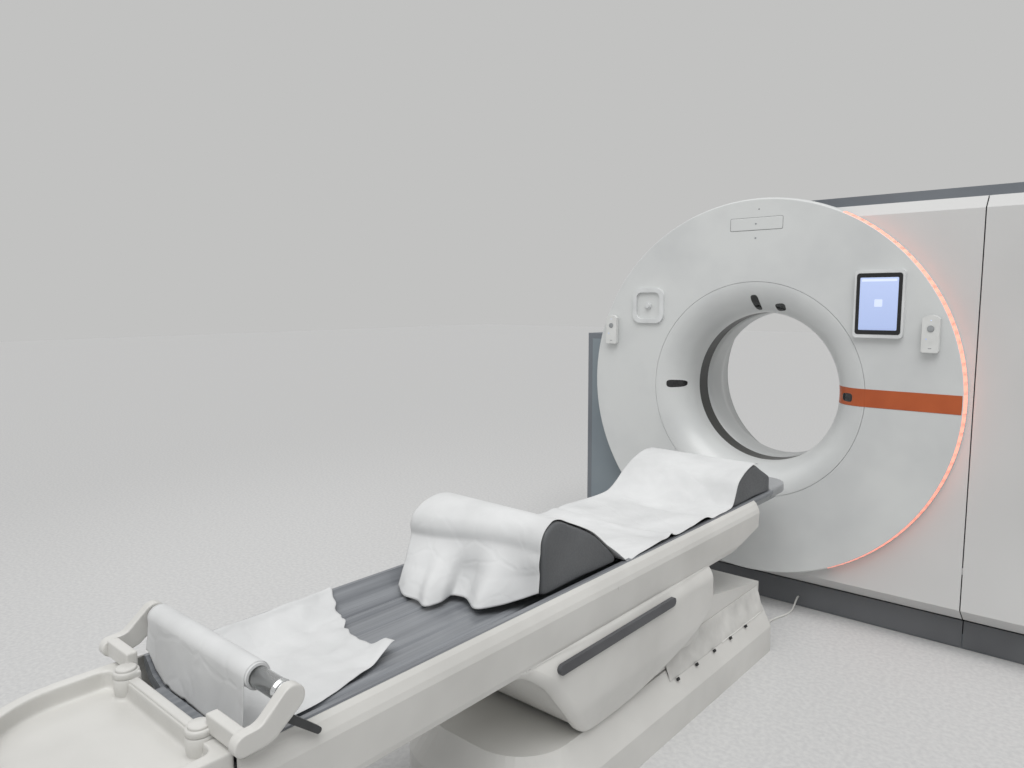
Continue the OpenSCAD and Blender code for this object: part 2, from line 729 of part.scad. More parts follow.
function unit(v) = v / norm(v);
function direction(p, i) = unit(p[min(i + 1, len(p) - 1)] - p[max(i - 1, 0)]);
// Rings of n points round each point of the path, swept into one closed tube
module tube(p, r, n) {
    rings = [for (i = [0 : len(p) - 1]) let (
        t = direction(p, i), u = unit(cross(t, abs(t[2]) > 0.95 ? [1, 0, 0] : [0, 0, 1])), v = cross(t, u))
        for (k = [0 : n - 1]) p[i] + r * (cos(360 * k / n) * u + sin(360 * k / n) * v)];
    m = len(p);
    sides = [for (i = [0 : m - 2]) for (k = [0 : n - 1])
        [i * n + k, (i + 1) * n + k, (i + 1) * n + (k + 1) % n, i * n + (k + 1) % n]];
    caps = [[for (k = [0 : n - 1]) k], [for (k = [n - 1 : -1 : 0]) (m - 1) * n + k]];
    polyhedron(points = rings, faces = concat(sides, caps), convexity = 4);
}

// The shell that hangs from the beam, stepped inwards by d and open below. Its foot end is an arch in the side
// view, and its lower edge sweeps up towards the ring. Its sides turn inwards below a crease.
shell_z0 = base_h + 8;
shell_crease = 315;
shell_sweep = 150;
shell_arch = [[0, 0, 1, 0.5], [120, 20, 0.39, 0.92], [194, 76, 0.69, 0.73], [254, 147, 0.77, 0.65],
    [320, 226, 0.76, 0.65], [372, 272, 0.54, 0.84]];
function shell_side(d) = concat([[shell_y1 - d, beam_z + d * 0.5]],
    [for (p = shell_arch) [shell_y0 + p[0] + d * p[2], beam_z - p[1] + d * p[3]]],
    [[shell_y0 + 395 + d, shell_z0 - (d > 0 ? 2 : 0)]],
    d > 0 ? [[shell_y1 - d, shell_z0 - 2]] :
    [for (t = [0 : 0.125 : 1]) [shell_y1 - (1 - t) * (shell_len - 590), shell_z0 + shell_sweep * pow(t, 2)]]);
function shell_wall(d) = [[shell_half - 18 - d * 0.6, beam_z + d * 0.5],
    [shell_half - 8 - d * 0.9, beam_z - 11], [shell_half - 2 - d, beam_z - 25], [shell_half - d, beam_z - 43],
    [shell_half - d, shell_crease], [shell_half - 30 - d, shell_z0 - (d > 0 ? 2 : 0)]];
module shell_body(d) intersection() {
    along_x(-shell_half, shell_half) polygon(shell_side(d));
    along_y(shell_y0 - e, shell_y1 + e) polygon(concat(shell_wall(d), mirrored(shell_wall(d))));
}

module shell_cover() color(light_grey) difference() {
    shell_body(0);
    shell_body(wall);
    block([-lower_half - nest_gap, shell_y1 - wall - e, shell_z0 - e],
        [lower_half + nest_gap, shell_y1 + e, wedge_top + nest_gap]);
}

strip_y = [-2036, -1435];
strip_z = 468;
strip_h = 28;

module side_strip() color([0.3, 0.3, 0.3]) for (s = [-1, 1]) {
    along_x(s < 0 ? -shell_half - 12 : shell_half, s < 0 ? -shell_half : shell_half + 12) {
        translate([strip_y[0] + strip_h / 2, strip_z - strip_h / 2])
            square([strip_y[1] - strip_y[0] - strip_h, strip_h]);
        for (k = [0, 1])
            translate([strip_y[k] + (1 - 2 * k) * strip_h / 2, strip_z]) circle(r = strip_h / 2, $fn = 48);
    }
}

// The beam
beam_y1 = -beam_near;
beam_y0 = beam_y1 - beam_len;
taper = 210;
taper_rise = 48;
frame_half = 195;
rail_x = 150;
rail_z = 548;
cradle_under = rim_z - 70;

function beam_side(d) = [[cradle_half + 1.5, rim_z - 2 - d], [beam_half - 14, rim_z - 12 - d * 0.8],
    [beam_half - 4 - d * 0.8, rim_z - 31 - d * 0.4], [beam_half - d, rim_z - 46],
    [beam_half - 1 - d, rim_z - 66],
    [beam_half - 5 - d, beam_z + 16], [beam_half - 9 - d * 0.4, beam_z + d], [frame_half + 5, beam_z + d]];

module taper_cut(d) along_x(-400, 400)
    polygon([[beam_y1 - taper, beam_z - e - 60], [beam_y1 - taper, beam_z + d],
        [beam_y1 + e, beam_z + taper_rise + d], [beam_y1 + e, beam_z - e - 60]]);

module beam_cover_side() difference() {
    union() {
        along_y(beam_y0, beam_y1) polygon(concat(beam_side(0), backwards(beam_side(wall))));
        for (y = [beam_y0, beam_y1 - wall])
            along_y(y, y + wall) polygon(concat(beam_side(0),
                [[frame_half + 5, rail_z - 3], [cradle_half + 1.5, cradle_under + 5]]));
        block([frame_half, beam_y0 + 20, rail_z - 44], [frame_half + 9, beam_y1 - 260, rail_z - 16]);
        for (y = [beam_y0 + 150 : 600 : beam_y1 - 250])
            block([frame_half, y, rail_z - 50], [beam_half - 6.5, y + 60, rail_z - 10]);
    }
    taper_cut(0);
    block([beam_half - 1, beam_y0 + 1150, beam_z], [beam_half + 1, beam_y0 + 1151.5, rim_z]);
}

module beam_covers() color(light_grey) {
    beam_cover_side();
    mirror([1, 0, 0]) beam_cover_side();
}

module beam_frame() color(steel) {
    difference() {
        block([-frame_half, beam_y0 + 10, beam_z + 5], [frame_half, beam_y1 - 10, rail_z]);
        block([-frame_half + 8, beam_y0 + 9, beam_z + 13], [frame_half - 8, beam_y1 - 9, rail_z - 8]);
        taper_cut(6);
        block([-60, beam_y0, rail_z - 9], [60, beam_y1 - 60, rail_z + e]);
    }
    for (s = [-1, 1])
        block([s * rail_x - 8, beam_y0 + 20, rail_z], [s * rail_x + 8, beam_y1 - 20, rail_z + 12]);
}

module beam_nose() color(white) hull() {
    block([-cradle_half + 4, beam_y1, beam_z + taper_rise + 1],
        [cradle_half - 4, beam_y1 + 2, cradle_under - 3]);
    translate([0, 0, cradle_under - 22]) linear_extrude(16)
        polygon(plan(cradle_half - 45, beam_y1, beam_y1 + 150, 5, 40));
}

// The cradle: a shallow trough with ridges along it, from its middle out to the rim
cradle_y1 = -tip_dist;
cradle_y0 = cradle_y1 - cradle_len;
floor_z = cradle_under + floor_t;
rim_in = cradle_half - 14;
// The side rails of the cradle join its floor here
rail_seam = 175;
tip_r = 200;
function trough(up) = [[0, floor_z + up], [56, floor_z + up], [63, floor_z + 4 + up], [71, floor_z + 4 + up],
    [78, floor_z + up], [124, floor_z + 2 + up], [133, floor_z + 9 + up], [144, floor_z + 9 + up],
    [153, floor_z + 5 + up], [rim_in - 33, floor_z + 22 + up]];
function mirrored(p) = [for (i = [len(p) - 1 : -1 : 0]) [-p[i][0], p[i][1]]];
module cradle_section() {
    half = concat(trough(0), [[rim_in - 4, rim_z - 4], [rim_in, rim_z], [cradle_half - 3, rim_z],
        [cradle_half, rim_z - 3], [cradle_half, rim_z - 15], [cradle_half - 28, cradle_under + 18],
        [cradle_half - 68, cradle_under]]);
    polygon(concat(mirrored(half), half));
}

module cradle() color([0.36, 0.38, 0.42]) {
    difference() {
        intersection() {
            along_y(cradle_y0, cradle_y1) cradle_section();
            linear_extrude(2 * rim_z) polygon(plan(cradle_half, cradle_y0, cradle_y1, 8, tip_r));
        }
        for (s = [-1, 1]) block([s * rail_seam - 0.15, cradle_y0 - e, 0], [s * rail_seam + 0.15, 0, 2 * rim_z]);
    }
    block([-150, cradle_y0 - tray_gap, cradle_under + 5], [150, cradle_y0 + e, cradle_under + 29]);
    for (s = [-1, 1]) for (y = [cradle_y0 + 160, cradle_y0 + 700, cradle_y0 + 1180])
        difference() {
            block([s * rail_x - 20, y, rail_z + 2], [s * rail_x + 20, y + 90, cradle_under]);
            block([s * rail_x - 8.3, y - e, rail_z], [s * rail_x + 8.3, y + 90 + e, rail_z + 12.3]);
        }
}

// The head support: a ridged wedge that sits on the rims, with a nose towards the gantry
head_y0 = cradle_y1 - 540;
head_half = cradle_half - 10;
ridge_h = 130;
nose_h = 58;
function head_path(d) = concat([[head_y0 + d * 2, rim_z], [head_y0 + d * 1.5, rim_z + 11 - d]],
    ellipse_arc(head_y0 + 190, rim_z + 11, 190 - d * 1.5, ridge_h - 11 - d, 165, 95, 8),
    [[head_y0 + 200 + d, rim_z + ridge_h - 6 - d * 1.5], [head_y0 + 330 - d, rim_z + nose_h - d],
    [head_y0 + 330 - d, rim_z]]);

module head_support() color([0.38, 0.39, 0.40]) {
    difference() {
        along_x(-head_half, head_half) polygon(head_path(0));
        along_x(-head_half + 6, head_half - 6) translate([0, -0.01]) polygon(head_path(6));
    }
    hull() {
        block([-head_half + 2, head_y0 + 330, rim_z], [head_half - 2, head_y0 + 332, rim_z + nose_h - 2]);
        translate([0, 0, rim_z]) linear_extrude(8)
            polygon(plan(head_half - 85, head_y0 + 331, cradle_y1 - 25, 5, 110));
    }
}

// The knee support: steep towards the foot, falling in one curve towards the head
knee_y1 = head_y0 - 775;
knee_y0 = knee_y1 - 345;
knee_half = cradle_half - 23;
knee_h = 189;
knee_top = knee_y0 + 62;
function knee_path(d) = concat([[knee_y0 + d, rim_z], [knee_y0 + d, rim_z + knee_h - 70]],
    ellipse_arc(knee_top, rim_z + knee_h - 60, 62 - d, 60 - d, 170, 90, 6),
    [for (i = [1 : 12]) let (t = i / 12) [knee_top + t * (knee_y1 - knee_top - d * 3),
        rim_z + 8 + (knee_h - 8 - d) * (1 - pow(t, 1.7))]], [[knee_y1 - d * 3, rim_z]]);

module knee_support() color([0.38, 0.39, 0.40]) {
    difference() {
        along_x(-knee_half, knee_half) polygon(knee_path(0));
        along_x(-knee_half + 6, knee_half - 6) translate([0, -0.01]) polygon(knee_path(6));
    }
    for (s = [-1, 1])
        block([s < 0 ? -cradle_half + 6 : knee_half - 5, knee_y0 + 12, rim_z],
            [s < 0 ? -knee_half + 5 : cradle_half - 6, knee_y1 - 60, rim_z + 5]);
}

// The long paper sheet lies over both supports. Its line from the foot side to the head ridge
paper_half = 205;
paper_t = 2.2;
sheet_line = concat([[knee_y0 - 80, rim_z + 3], [knee_y0 - 62, rim_z + 70], [knee_y0 - 28, rim_z + knee_h - 50],
    [knee_top - 36, rim_z + knee_h - 2]],
    [for (i = [0 : 10]) let (t = i / 12) [knee_top + t * (knee_y1 - knee_top),
        rim_z + 9 + (knee_h - 8) * (1 - pow(t, 1.7))]],
    [[knee_y1 + 20, rim_z + 7], [knee_y1 + 120, rim_z + 3], [head_y0 - 200, rim_z + 3], [head_y0 - 40, rim_z + 8]],
    ellipse_arc(head_y0 + 190, rim_z + 11, 192.5, ridge_h - 9, 172, 92, 10));

// The strip from the roll lies in the trough and hangs from the roll's foot side
roll_y = cradle_y0 + 40;
roll_z = rim_z + 75;
strip_x0 = -cradle_half + 30;
strip_x1 = 150;
strip_end = cradle_y0 + 480;
function trough_line(up) = concat(mirrored(trough(up)), trough(up));

module paper_sheets() color([0.95, 0.95, 0.95]) {
    along_x(-paper_half, paper_half) polygon(concat(sheet_line,
        [for (i = [len(sheet_line) - 1 : -1 : 0]) sheet_line[i] + [-paper_t * 0.4, paper_t]]));
    intersection() {
        union() {
            along_y(roll_y - roll_r - 0.3, strip_end)
                polygon(concat(trough_line(0.4), backwards(trough_line(0.4 + paper_t))));
            along_y(roll_y - roll_r - 0.3 - paper_t, roll_y - roll_r - 0.3)
                polygon(concat(trough_line(0.4), [[rim_in - 33, roll_z], [-rim_in + 33, roll_z]]));
        }
        block([strip_x0, -4000, 0], [strip_x1, 0, roll_z]);
    }
}

// The foot tray and the holder of the paper roll
tray_gap = 51;
tray_y1 = cradle_y0 - tray_gap;
tray_y0 = cradle_y0 - tray_len;
tray_z = rim_z + 5;
tray_h = 50;
bar_y = tray_y1 - 18;
tray_rim = 27;
post_x = 155;
post_r = 25;
pin_r = 14;
foot_z = tray_z - 22;
strap_t = 4;
collar_z = tray_z + 5;
collar_h = 13;
cap_r = 20;
cap_z = collar_z + collar_h + 0.3;
cap_h = 5;
arm_x = cradle_half + 17;
arm_t = 24;
arm_r = 24;
bend_y = roll_y - 52;
bend_z = collar_z + 22;
link_h = 35;

module post_foot(x, h, grow = 0) {
    translate([x, bar_y, foot_z]) cylinder(r = post_r + grow, h = h);
    block([x - post_r - grow, bar_y, foot_z], [x + post_r + grow, tray_y1 + 4 + grow * 20, foot_z + h]);
}

module foot_tray() color(white) {
    difference() {
        translate([0, 0, tray_z - tray_h]) linear_extrude(tray_h)
            polygon(plan(cradle_half, tray_y0, tray_y1, 195, 8));
        translate([0, 0, tray_z - tray_deep]) linear_extrude(tray_deep + e)
            polygon(plan(cradle_half - tray_rim, tray_y0 + tray_rim, tray_y1 - tray_rim, 168, 20));
        for (x = [-post_x, post_x]) post_foot(x, tray_h, 1);
    }
    for (x = [-post_x, post_x]) difference() {
        translate([x, bar_y, tray_z - tray_h]) cylinder(r = post_r - 2, h = foot_z - tray_z + tray_h);
        block([x - post_r, tray_y1, 0], [x + post_r, 0, tray_z]);
    }
}

// One arm: a plate that goes down from the end of the roll and bends level, and the link from it to its post
module arm_plate(x0) {
    hull() {
        rod_x(roll_y, roll_z, arm_r, x0, x0 + arm_t, $fn = 32);
        rod_x(bend_y, bend_z, arm_r - 2, x0, x0 + arm_t, $fn = 32);
    }
    hull() {
        rod_x(bend_y, bend_z, arm_r - 2, x0, x0 + arm_t, $fn = 32);
        rod_x(bar_y + 13, collar_z + link_h / 2, link_h / 2, x0, x0 + arm_t, $fn = 32);
    }
}

module arm_link(x0, x1, h) block([x0, bar_y - 6, collar_z], [x1, bar_y + 32, collar_z + h]);

module roll_holder() color(white) {
    block([-post_x, bar_y - 7, tray_z], [post_x, bar_y + 16, tray_z + strap_t]);
    post_foot(-post_x, collar_z - foot_z + collar_h);
    translate([-post_x, bar_y, collar_z]) cylinder(r = cap_r, h = cap_z - collar_z + cap_h);
    arm_plate(-arm_x - arm_t);
    arm_link(-arm_x - e, -post_x - post_r - 2, link_h);
    arm_link(-arm_x, -post_x, collar_h);
    rod_x(roll_y, roll_z, core_r - 3 - run_gap, -arm_x - e, -arm_x + 24);
    post_foot(post_x, collar_z - foot_z - 0.3);
    translate([post_x, bar_y, foot_z]) cylinder(r = pin_r, h = cap_z - foot_z + cap_h);
    translate([post_x, bar_y, cap_z]) cylinder(r = cap_r, h = cap_h);
}

lever_y = roll_y - 15;
lever_z = roll_z - 30;
lever_x = arm_x + 6;
lever_t = 12;
module right_arm() color(white) {
    difference() {
        union() {
            rod_x(roll_y, roll_z, core_r - 6, arm_x - 6, arm_x + e);
            translate([post_x, bar_y, collar_z]) cylinder(r = post_r, h = collar_h);
            arm_plate(arm_x);
            arm_link(post_x + post_r + 2, arm_x + e, link_h);
            arm_link(post_x, arm_x, collar_h);
        }
        translate([post_x, bar_y, collar_z - e]) cylinder(r = pin_r + run_gap, h = collar_h + 2 * e);
        along_x(lever_x - 1, lever_x + lever_t + 1)
            polygon([[lever_y - 12, lever_z + 9], [lever_y - 12, lever_z - 8], [lever_y - 2, lever_z - 16],
                [lever_y + 12, lever_z - 40], [lever_y + 60, lever_z - 40], [lever_y + 60, lever_z + 9]]);
    }
    rod_x(lever_y, lever_z, 4, lever_x - 2, lever_x + lever_t + 2);
}

module arm_lever() color(dark) difference() {
    hull() {
        rod_x(lever_y, lever_z, 8, lever_x, lever_x + lever_t, $fn = 32);
        rod_x(lever_y + 67, lever_z - 56, 6.5, lever_x, lever_x + lever_t, $fn = 32);
    }
    rod_x(lever_y, lever_z, 4 + run_gap, lever_x - e, lever_x + lever_t + e);
}

module paper_roll() color([0.93, 0.93, 0.92]) {
    difference() {
        rod_x(roll_y, roll_z, roll_r, -arm_x + 16, 170);
        rod_x(roll_y, roll_z, core_r, -arm_x + 15, 171);
    }
    difference() {
        rod_x(roll_y, roll_z, core_r, -arm_x + 4, arm_x - 3);
        rod_x(roll_y, roll_z, core_r - 3, -arm_x, arm_x);
    }
}

base_frame();
stator_frame();
outer_race();
brush_block();
drive_motor();
drive_belt();
rotor_drum();
x_ray_tube();
collimator();
detector_arc();
generator();
heat_exchanger();
slip_ring();
motor_pulley();
power_cabinet();
front_cover();
light_ring();
front_funnel();
scan_window();
rear_funnel();
rear_cover();
core_cover();
side_panel();
cabinet_panel();
left_panel();
plinth_panels();
accent_stripe();
sensor_windows();
tablet_dock();
tablet();
empty_dock();
remote_holders();
remotes();
right_button();
left_button();
base_cover();
base_plate();
lower_cover();
mid_cover();
outer_column();
inner_column();
lift_motor();
lift_screw();
skirt();
clips();
table_cable();
shell_cover();
side_strip();
beam_frame();
beam_covers();
beam_nose();
cradle();
head_support();
knee_support();
paper_sheets();
foot_tray();
roll_holder();
right_arm();
arm_lever();
paper_roll();
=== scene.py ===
import math

import bmesh
import bpy
import numpy as np
from mathutils import Matrix, Vector


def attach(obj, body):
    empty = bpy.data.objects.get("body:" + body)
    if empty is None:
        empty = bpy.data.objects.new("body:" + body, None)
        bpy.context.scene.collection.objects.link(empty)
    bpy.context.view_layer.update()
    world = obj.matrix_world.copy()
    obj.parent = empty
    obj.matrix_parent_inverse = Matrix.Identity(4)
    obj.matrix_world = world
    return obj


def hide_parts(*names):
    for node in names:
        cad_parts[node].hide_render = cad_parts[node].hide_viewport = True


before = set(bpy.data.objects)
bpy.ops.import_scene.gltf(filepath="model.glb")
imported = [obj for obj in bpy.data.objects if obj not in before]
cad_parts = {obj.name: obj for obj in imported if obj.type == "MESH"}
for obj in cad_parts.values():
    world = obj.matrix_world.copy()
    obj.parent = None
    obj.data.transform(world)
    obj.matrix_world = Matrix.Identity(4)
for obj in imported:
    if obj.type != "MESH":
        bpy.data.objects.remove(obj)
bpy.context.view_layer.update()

scene = bpy.context.scene

# Main places in the shared frame, in metres: Y runs from the table's foot into the ring, Z is up
BORE_Z = 1.005
FACE_Y = -0.240


def placed(name, data):
    """A new object in the scene."""
    made = bpy.data.objects.new(name, data)
    scene.collection.objects.link(made)
    return made


# Camera
# It stands beside the foot end and looks along the table at the ring; place, angles and lens were fitted
CAMERA_PLACE = (1.3872, -3.4810, 1.4112)
YAW, PITCH, TILT = math.radians(41.038), math.radians(6.370), math.radians(-0.1565)
LENS_MM, SENSOR_MM = 26.193, 36.0
ahead = Vector((-math.sin(YAW) * math.cos(PITCH), math.cos(YAW) * math.cos(PITCH), -math.sin(PITCH)))
side = Vector((math.cos(YAW), math.sin(YAW), 0.0))
above = side.cross(ahead)
right = math.cos(TILT) * side + math.sin(TILT) * above
upward = math.cos(TILT) * above - math.sin(TILT) * side
camera = placed("camera", bpy.data.cameras.new("camera"))
scene.camera = camera
camera.data.lens = LENS_MM
camera.data.sensor_width = SENSOR_MM
camera.data.clip_end = 60.0
axes = Matrix((right, upward, -ahead)).transposed().to_4x4()
camera.matrix_world = Matrix.Translation(CAMERA_PLACE) @ axes


# Shapes
def grid(points, around=False, along=False):
    """Points (n, m, 3) and the quads between neighbours. around joins the last row to the first, and along
    joins the last column to the first."""
    n, m = points.shape[:2]
    i, j = np.meshgrid(np.arange(n if around else n - 1), np.arange(m if along else m - 1), indexing="ij")
    k, l = (i + 1) % n, (j + 1) % m
    quads = np.stack([i * m + j, k * m + j, k * m + l, i * m + l], -1).reshape(-1, 4)
    return points.reshape(-1, 3), quads


def join_points(mesh, reach, face_out=False):
    """Joins points that are within reach of each other, and turns the faces outwards if asked."""
    work = bmesh.new()
    work.from_mesh(mesh)
    bmesh.ops.remove_doubles(work, verts=work.verts, dist=reach)
    if face_out:
        bmesh.ops.recalc_face_normals(work, faces=work.faces)
    work.to_mesh(mesh)
    work.free()


def piece(name, parts, finish, body, closed=True, replaces=()):
    """One mesh object from a list of (points, quads); rows that fall on one point close into a pole."""
    if isinstance(parts, tuple):
        parts = [parts]
    start = np.cumsum([0] + [len(p) for p, _ in parts[:-1]])
    points = np.concatenate([p for p, _ in parts])
    quads = np.concatenate([q + s for (_, q), s in zip(parts, start)])
    mesh = bpy.data.meshes.new(name)
    mesh.from_pydata(points.tolist(), [], quads.tolist())
    join_points(mesh, 1e-6, closed)
    mesh.polygons.foreach_set("use_smooth", np.full(len(mesh.polygons), True))
    made = placed(name, mesh)
    mesh.materials.append(finish)
    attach(made, body)
    if replaces:
        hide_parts(*replaces)
    return made


def through(knots, count):
    """A smooth line of count points through the knots: cubic Hermite curves by length, whose slopes come from
    the neighbouring knots."""
    knots = np.asarray(knots, float)
    at = np.concatenate([[0], np.cumsum(np.linalg.norm(np.diff(knots, axis=0), axis=1))])
    slope = np.gradient(knots, at, axis=0)
    t = np.linspace(0, at[-1], count)
    i = np.clip(np.searchsorted(at, t, side="right") - 1, 0, len(at) - 2)
    h = (at[i + 1] - at[i])[:, None]
    s = ((t - at[i])[:, None]) / h
    a, b = knots[i], knots[i + 1]
    return ((2 * s**3 - 3 * s**2 + 1) * a + (s**3 - 2 * s**2 + s) * h * slope[i]
            + (3 * s**2 - 2 * s**3) * b + (s**3 - s**2) * h * slope[i + 1])


def tube(line, radius, sides=12, across=(1, 0, 0)):
    """Circles square to a line of points, closed at both ends by a point. across is a direction that the line
    never takes."""
    line = np.asarray(line, float)
    t = np.gradient(line, axis=0)
    t /= np.linalg.norm(t, axis=1)[:, None]
    u = np.cross(t, across)
    u /= np.linalg.norm(u, axis=1)[:, None]
    v = np.cross(t, u)
    a = np.linspace(0, 2 * np.pi, sides, endpoint=False)[None, :, None]
    r = np.broadcast_to(radius, len(line))[:, None, None]
    rings = line[:, None] + r * (np.cos(a) * u[:, None] + np.sin(a) * v[:, None])
    ends = [np.repeat(line[k][None, None], sides, axis=1) for k in (0, -1)]
    return grid(np.concatenate([ends[0], rings, ends[1]]), along=True)


def turned(profile, axis, middle, sides, around=False):
    """A profile of (radius, place along the axis) turned about axis 0, 1 or 2, that is X, Y or Z. middle is
    the axis's place on the other two, and around closes the profile."""
    r, along = np.asarray(profile, float).T[:, :, None]
    a = np.linspace(0, 2 * np.pi, sides, endpoint=False)
    points = [middle[0] + r * np.cos(a), middle[1] + r * np.sin(a)]
    points.insert(axis, np.broadcast_to(along, (len(r), sides)))
    return grid(np.stack(points, -1), around=around, along=True)


def soft_rectangle(width, height, corner, count=9):
    """Outline of a rectangle with round corners, as (x, z) about its middle."""
    a = np.linspace(0, np.pi / 2, count)
    arc = corner * np.stack([np.cos(a), np.sin(a)], -1)
    turn = np.array([[0, -1], [1, 0]])
    out, shift = [], np.array([width / 2 - corner, height / 2 - corner])
    for k in range(4):
        sign = np.array([1 if k in (0, 3) else -1, 1 if k in (0, 1) else -1])
        out.append(arc @ np.linalg.matrix_power(turn.T, k) + sign * shift)
    return np.concatenate(out)


def plaque(outline, x, z, y0, y1, edge):
    """A closed plate with the outline (n, 2) about (x, z), from y0 to its front at y1 < y0. Its front edge
    rounds over."""
    size = np.abs(outline).max(0)
    rows = [(0, y0, 0), (1, y0, 0), (1, y1 + edge, 0), (1, y1 + edge * 0.3, edge * 0.3), (1, y1, edge),
            (0.92, y1, edge), (0, y1, edge)]
    points = [np.stack([x + outline[:, 0] * k * (1 - d / size[0]), np.full(len(outline), y),
                        z + outline[:, 1] * k * (1 - d / size[1])], -1) for k, y, d in rows]
    return grid(np.array(points), along=True)


def even(line, step, closed=False):
    """The points of a line again at even steps."""
    line = np.asarray(line, float)
    if closed:
        line = np.concatenate([line, line[:1]])
    at = np.concatenate([[0], np.cumsum(np.linalg.norm(np.diff(line, axis=0), axis=1))])
    count = max(8, int(at[-1] / step))
    t = np.linspace(0, at[-1], count, endpoint=not closed)
    return np.stack([np.interp(t, at, line[:, k]) for k in range(line.shape[1])], -1)


def relaxed(loop, times):
    """A closed loop whose corners are rounded by averaging each point with its neighbours."""
    for _ in range(times):
        loop = 0.25 * np.roll(loop, 1, 0) + 0.5 * loop + 0.25 * np.roll(loop, -1, 0)
    return loop


def soft_slab(loop, low, high, edge, wave=0.0, seed=1, count=34):
    """A closed (y, z) loop drawn from x = low to high. Towards each side it draws in to its middle along a
    quarter circle of radius edge, and its skin waves a little along its normal."""
    ahead = np.roll(loop, -1, 0) - np.roll(loop, 1, 0)
    normal = np.stack([-ahead[:, 1], ahead[:, 0]], -1) / np.linalg.norm(ahead, axis=1)[:, None]
    middle = loop.mean(0)
    inward = middle - loop
    inward /= np.linalg.norm(inward, axis=1)[:, None]
    a = np.linspace(0, np.pi / 2, 6)
    draw = [(edge * (1 - math.cos(t)), edge * (1 - math.sin(t))) for t in a]
    line = [(low + x, d) for x, d in draw]
    line += [(x, 0.0) for x in np.linspace(low + edge, high - edge, count)[1:-1]]
    line += [(high - x, d) for x, d in draw[::-1]]
    rows = np.array([np.concatenate([np.full((len(loop), 1), x), loop + inward * d], 1) for x, d in line])
    rows[:, :, 1:] += wave * ripple(rows, seed, 0.11)[..., None] * normal
    caps = []
    for row in (rows[0], rows[-1]):
        near, point = row.copy(), row.copy()
        near[:, 1:] += inward * edge
        point[:, 1:] = middle
        caps.append((near[None], point[None]))
    return grid(np.concatenate([caps[0][1], caps[0][0], rows, caps[1][0], caps[1][1]]), along=True)


def rounded(corners, step, times):
    """A closed loop through the corners, rounded."""
    return relaxed(even(corners, step, closed=True), times)


def ripple(p, seed, size, waves=22):
    """Smooth noise from -1 to 1 at points p (..., k): a sum of cosines in random directions, whose
    wavelengths are about size metres."""
    source = np.random.default_rng(seed)
    way = source.normal(size=(waves, p.shape[-1]))
    way *= (2 * np.pi / size * source.uniform(0.6, 1.5, waves) / np.linalg.norm(way, axis=1))[:, None]
    return np.cos(p @ way.T + source.uniform(0, 2 * np.pi, waves)).sum(-1) / math.sqrt(waves / 2) / 2


def ease(t):
    """0 to 1 with level ends."""
    t = np.clip(t, 0, 1)
    return t * t * (3 - 2 * t)


# Finishes
def linear(colour):
    """An sRGB hex colour as linear red, green, blue and alpha."""
    c = np.array([int(colour[k:k + 2], 16) for k in (0, 2, 4)]) / 255
    return (*np.where(c <= 0.04045, c / 12.92, ((c + 0.055) / 1.055) ** 2.4).tolist(), 1.0)


def add(tree, kind, settings=None, links=None):
    """Adds a node, sets its fields and sockets, and links its sockets."""
    made = tree.nodes.new(kind)
    for key, value in (settings or {}).items():
        if isinstance(key, str) and hasattr(made, key):
            setattr(made, key, value)
        else:
            made.inputs[key].default_value = value
    for key, source in (links or {}).items():
        tree.links.new(source, made.inputs[key])
    return made


def blank(name, colour, roughness, metallic=0.0, **sockets):
    """A material whose shader has the given constant sockets, and its tree, shader and Object coordinates."""
    made = bpy.data.materials.new(name)
    made.use_nodes = True
    tree = made.node_tree
    shader = tree.nodes["Principled BSDF"]
    shader.inputs["Base Color"].default_value = linear(colour)
    shader.inputs["Roughness"].default_value = roughness
    shader.inputs["Metallic"].default_value = metallic
    for key, value in sockets.items():
        shader.inputs[key.replace("_", " ")].default_value = value
    place = add(tree, "ShaderNodeTexCoord").outputs["Object"]
    made.diffuse_color = linear(colour)
    return made, tree, shader, place


def noise(tree, place, scale, detail, **more):
    """The value of fractal noise over a place."""
    settings = {"Scale": scale, "Detail": detail, **more}
    return add(tree, "ShaderNodeTexNoise", settings, {"Vector": place}).outputs["Fac"]


def relief(tree, shader, height, strength, depth, normal=None):
    """Gives the shader a relief depth metres deep, on top of the given normal, and returns the new normal."""
    links = {"Height": height} if normal is None else {"Height": height, "Normal": normal}
    bump = add(tree, "ShaderNodeBump", {"Strength": strength, "Distance": depth}, links)
    tree.links.new(bump.outputs["Normal"], shader.inputs["Normal"])
    return bump.outputs["Normal"]


def shade_between(tree, shader, value, low, high, dark, light, socket="Base Color"):
    """The socket's colour goes between two hex colours as the value goes from low to high."""
    ramp = add(tree, "ShaderNodeValToRGB", links={"Fac": value})
    ends = ramp.color_ramp.elements
    ends[0].position, ends[0].color = low, linear(dark)
    ends[1].position, ends[1].color = high, linear(light)
    tree.links.new(ramp.outputs["Color"], shader.inputs[socket])


def rough_between(tree, shader, value, least, most):
    """Roughness between least and most as the value goes from 0.3 to 0.7."""
    limits = {"From Min": 0.3, "From Max": 0.7, "To Min": least, "To Max": most}
    span = add(tree, "ShaderNodeMapRange", limits, {"Value": value})
    tree.links.new(span.outputs["Result"], shader.inputs["Roughness"])


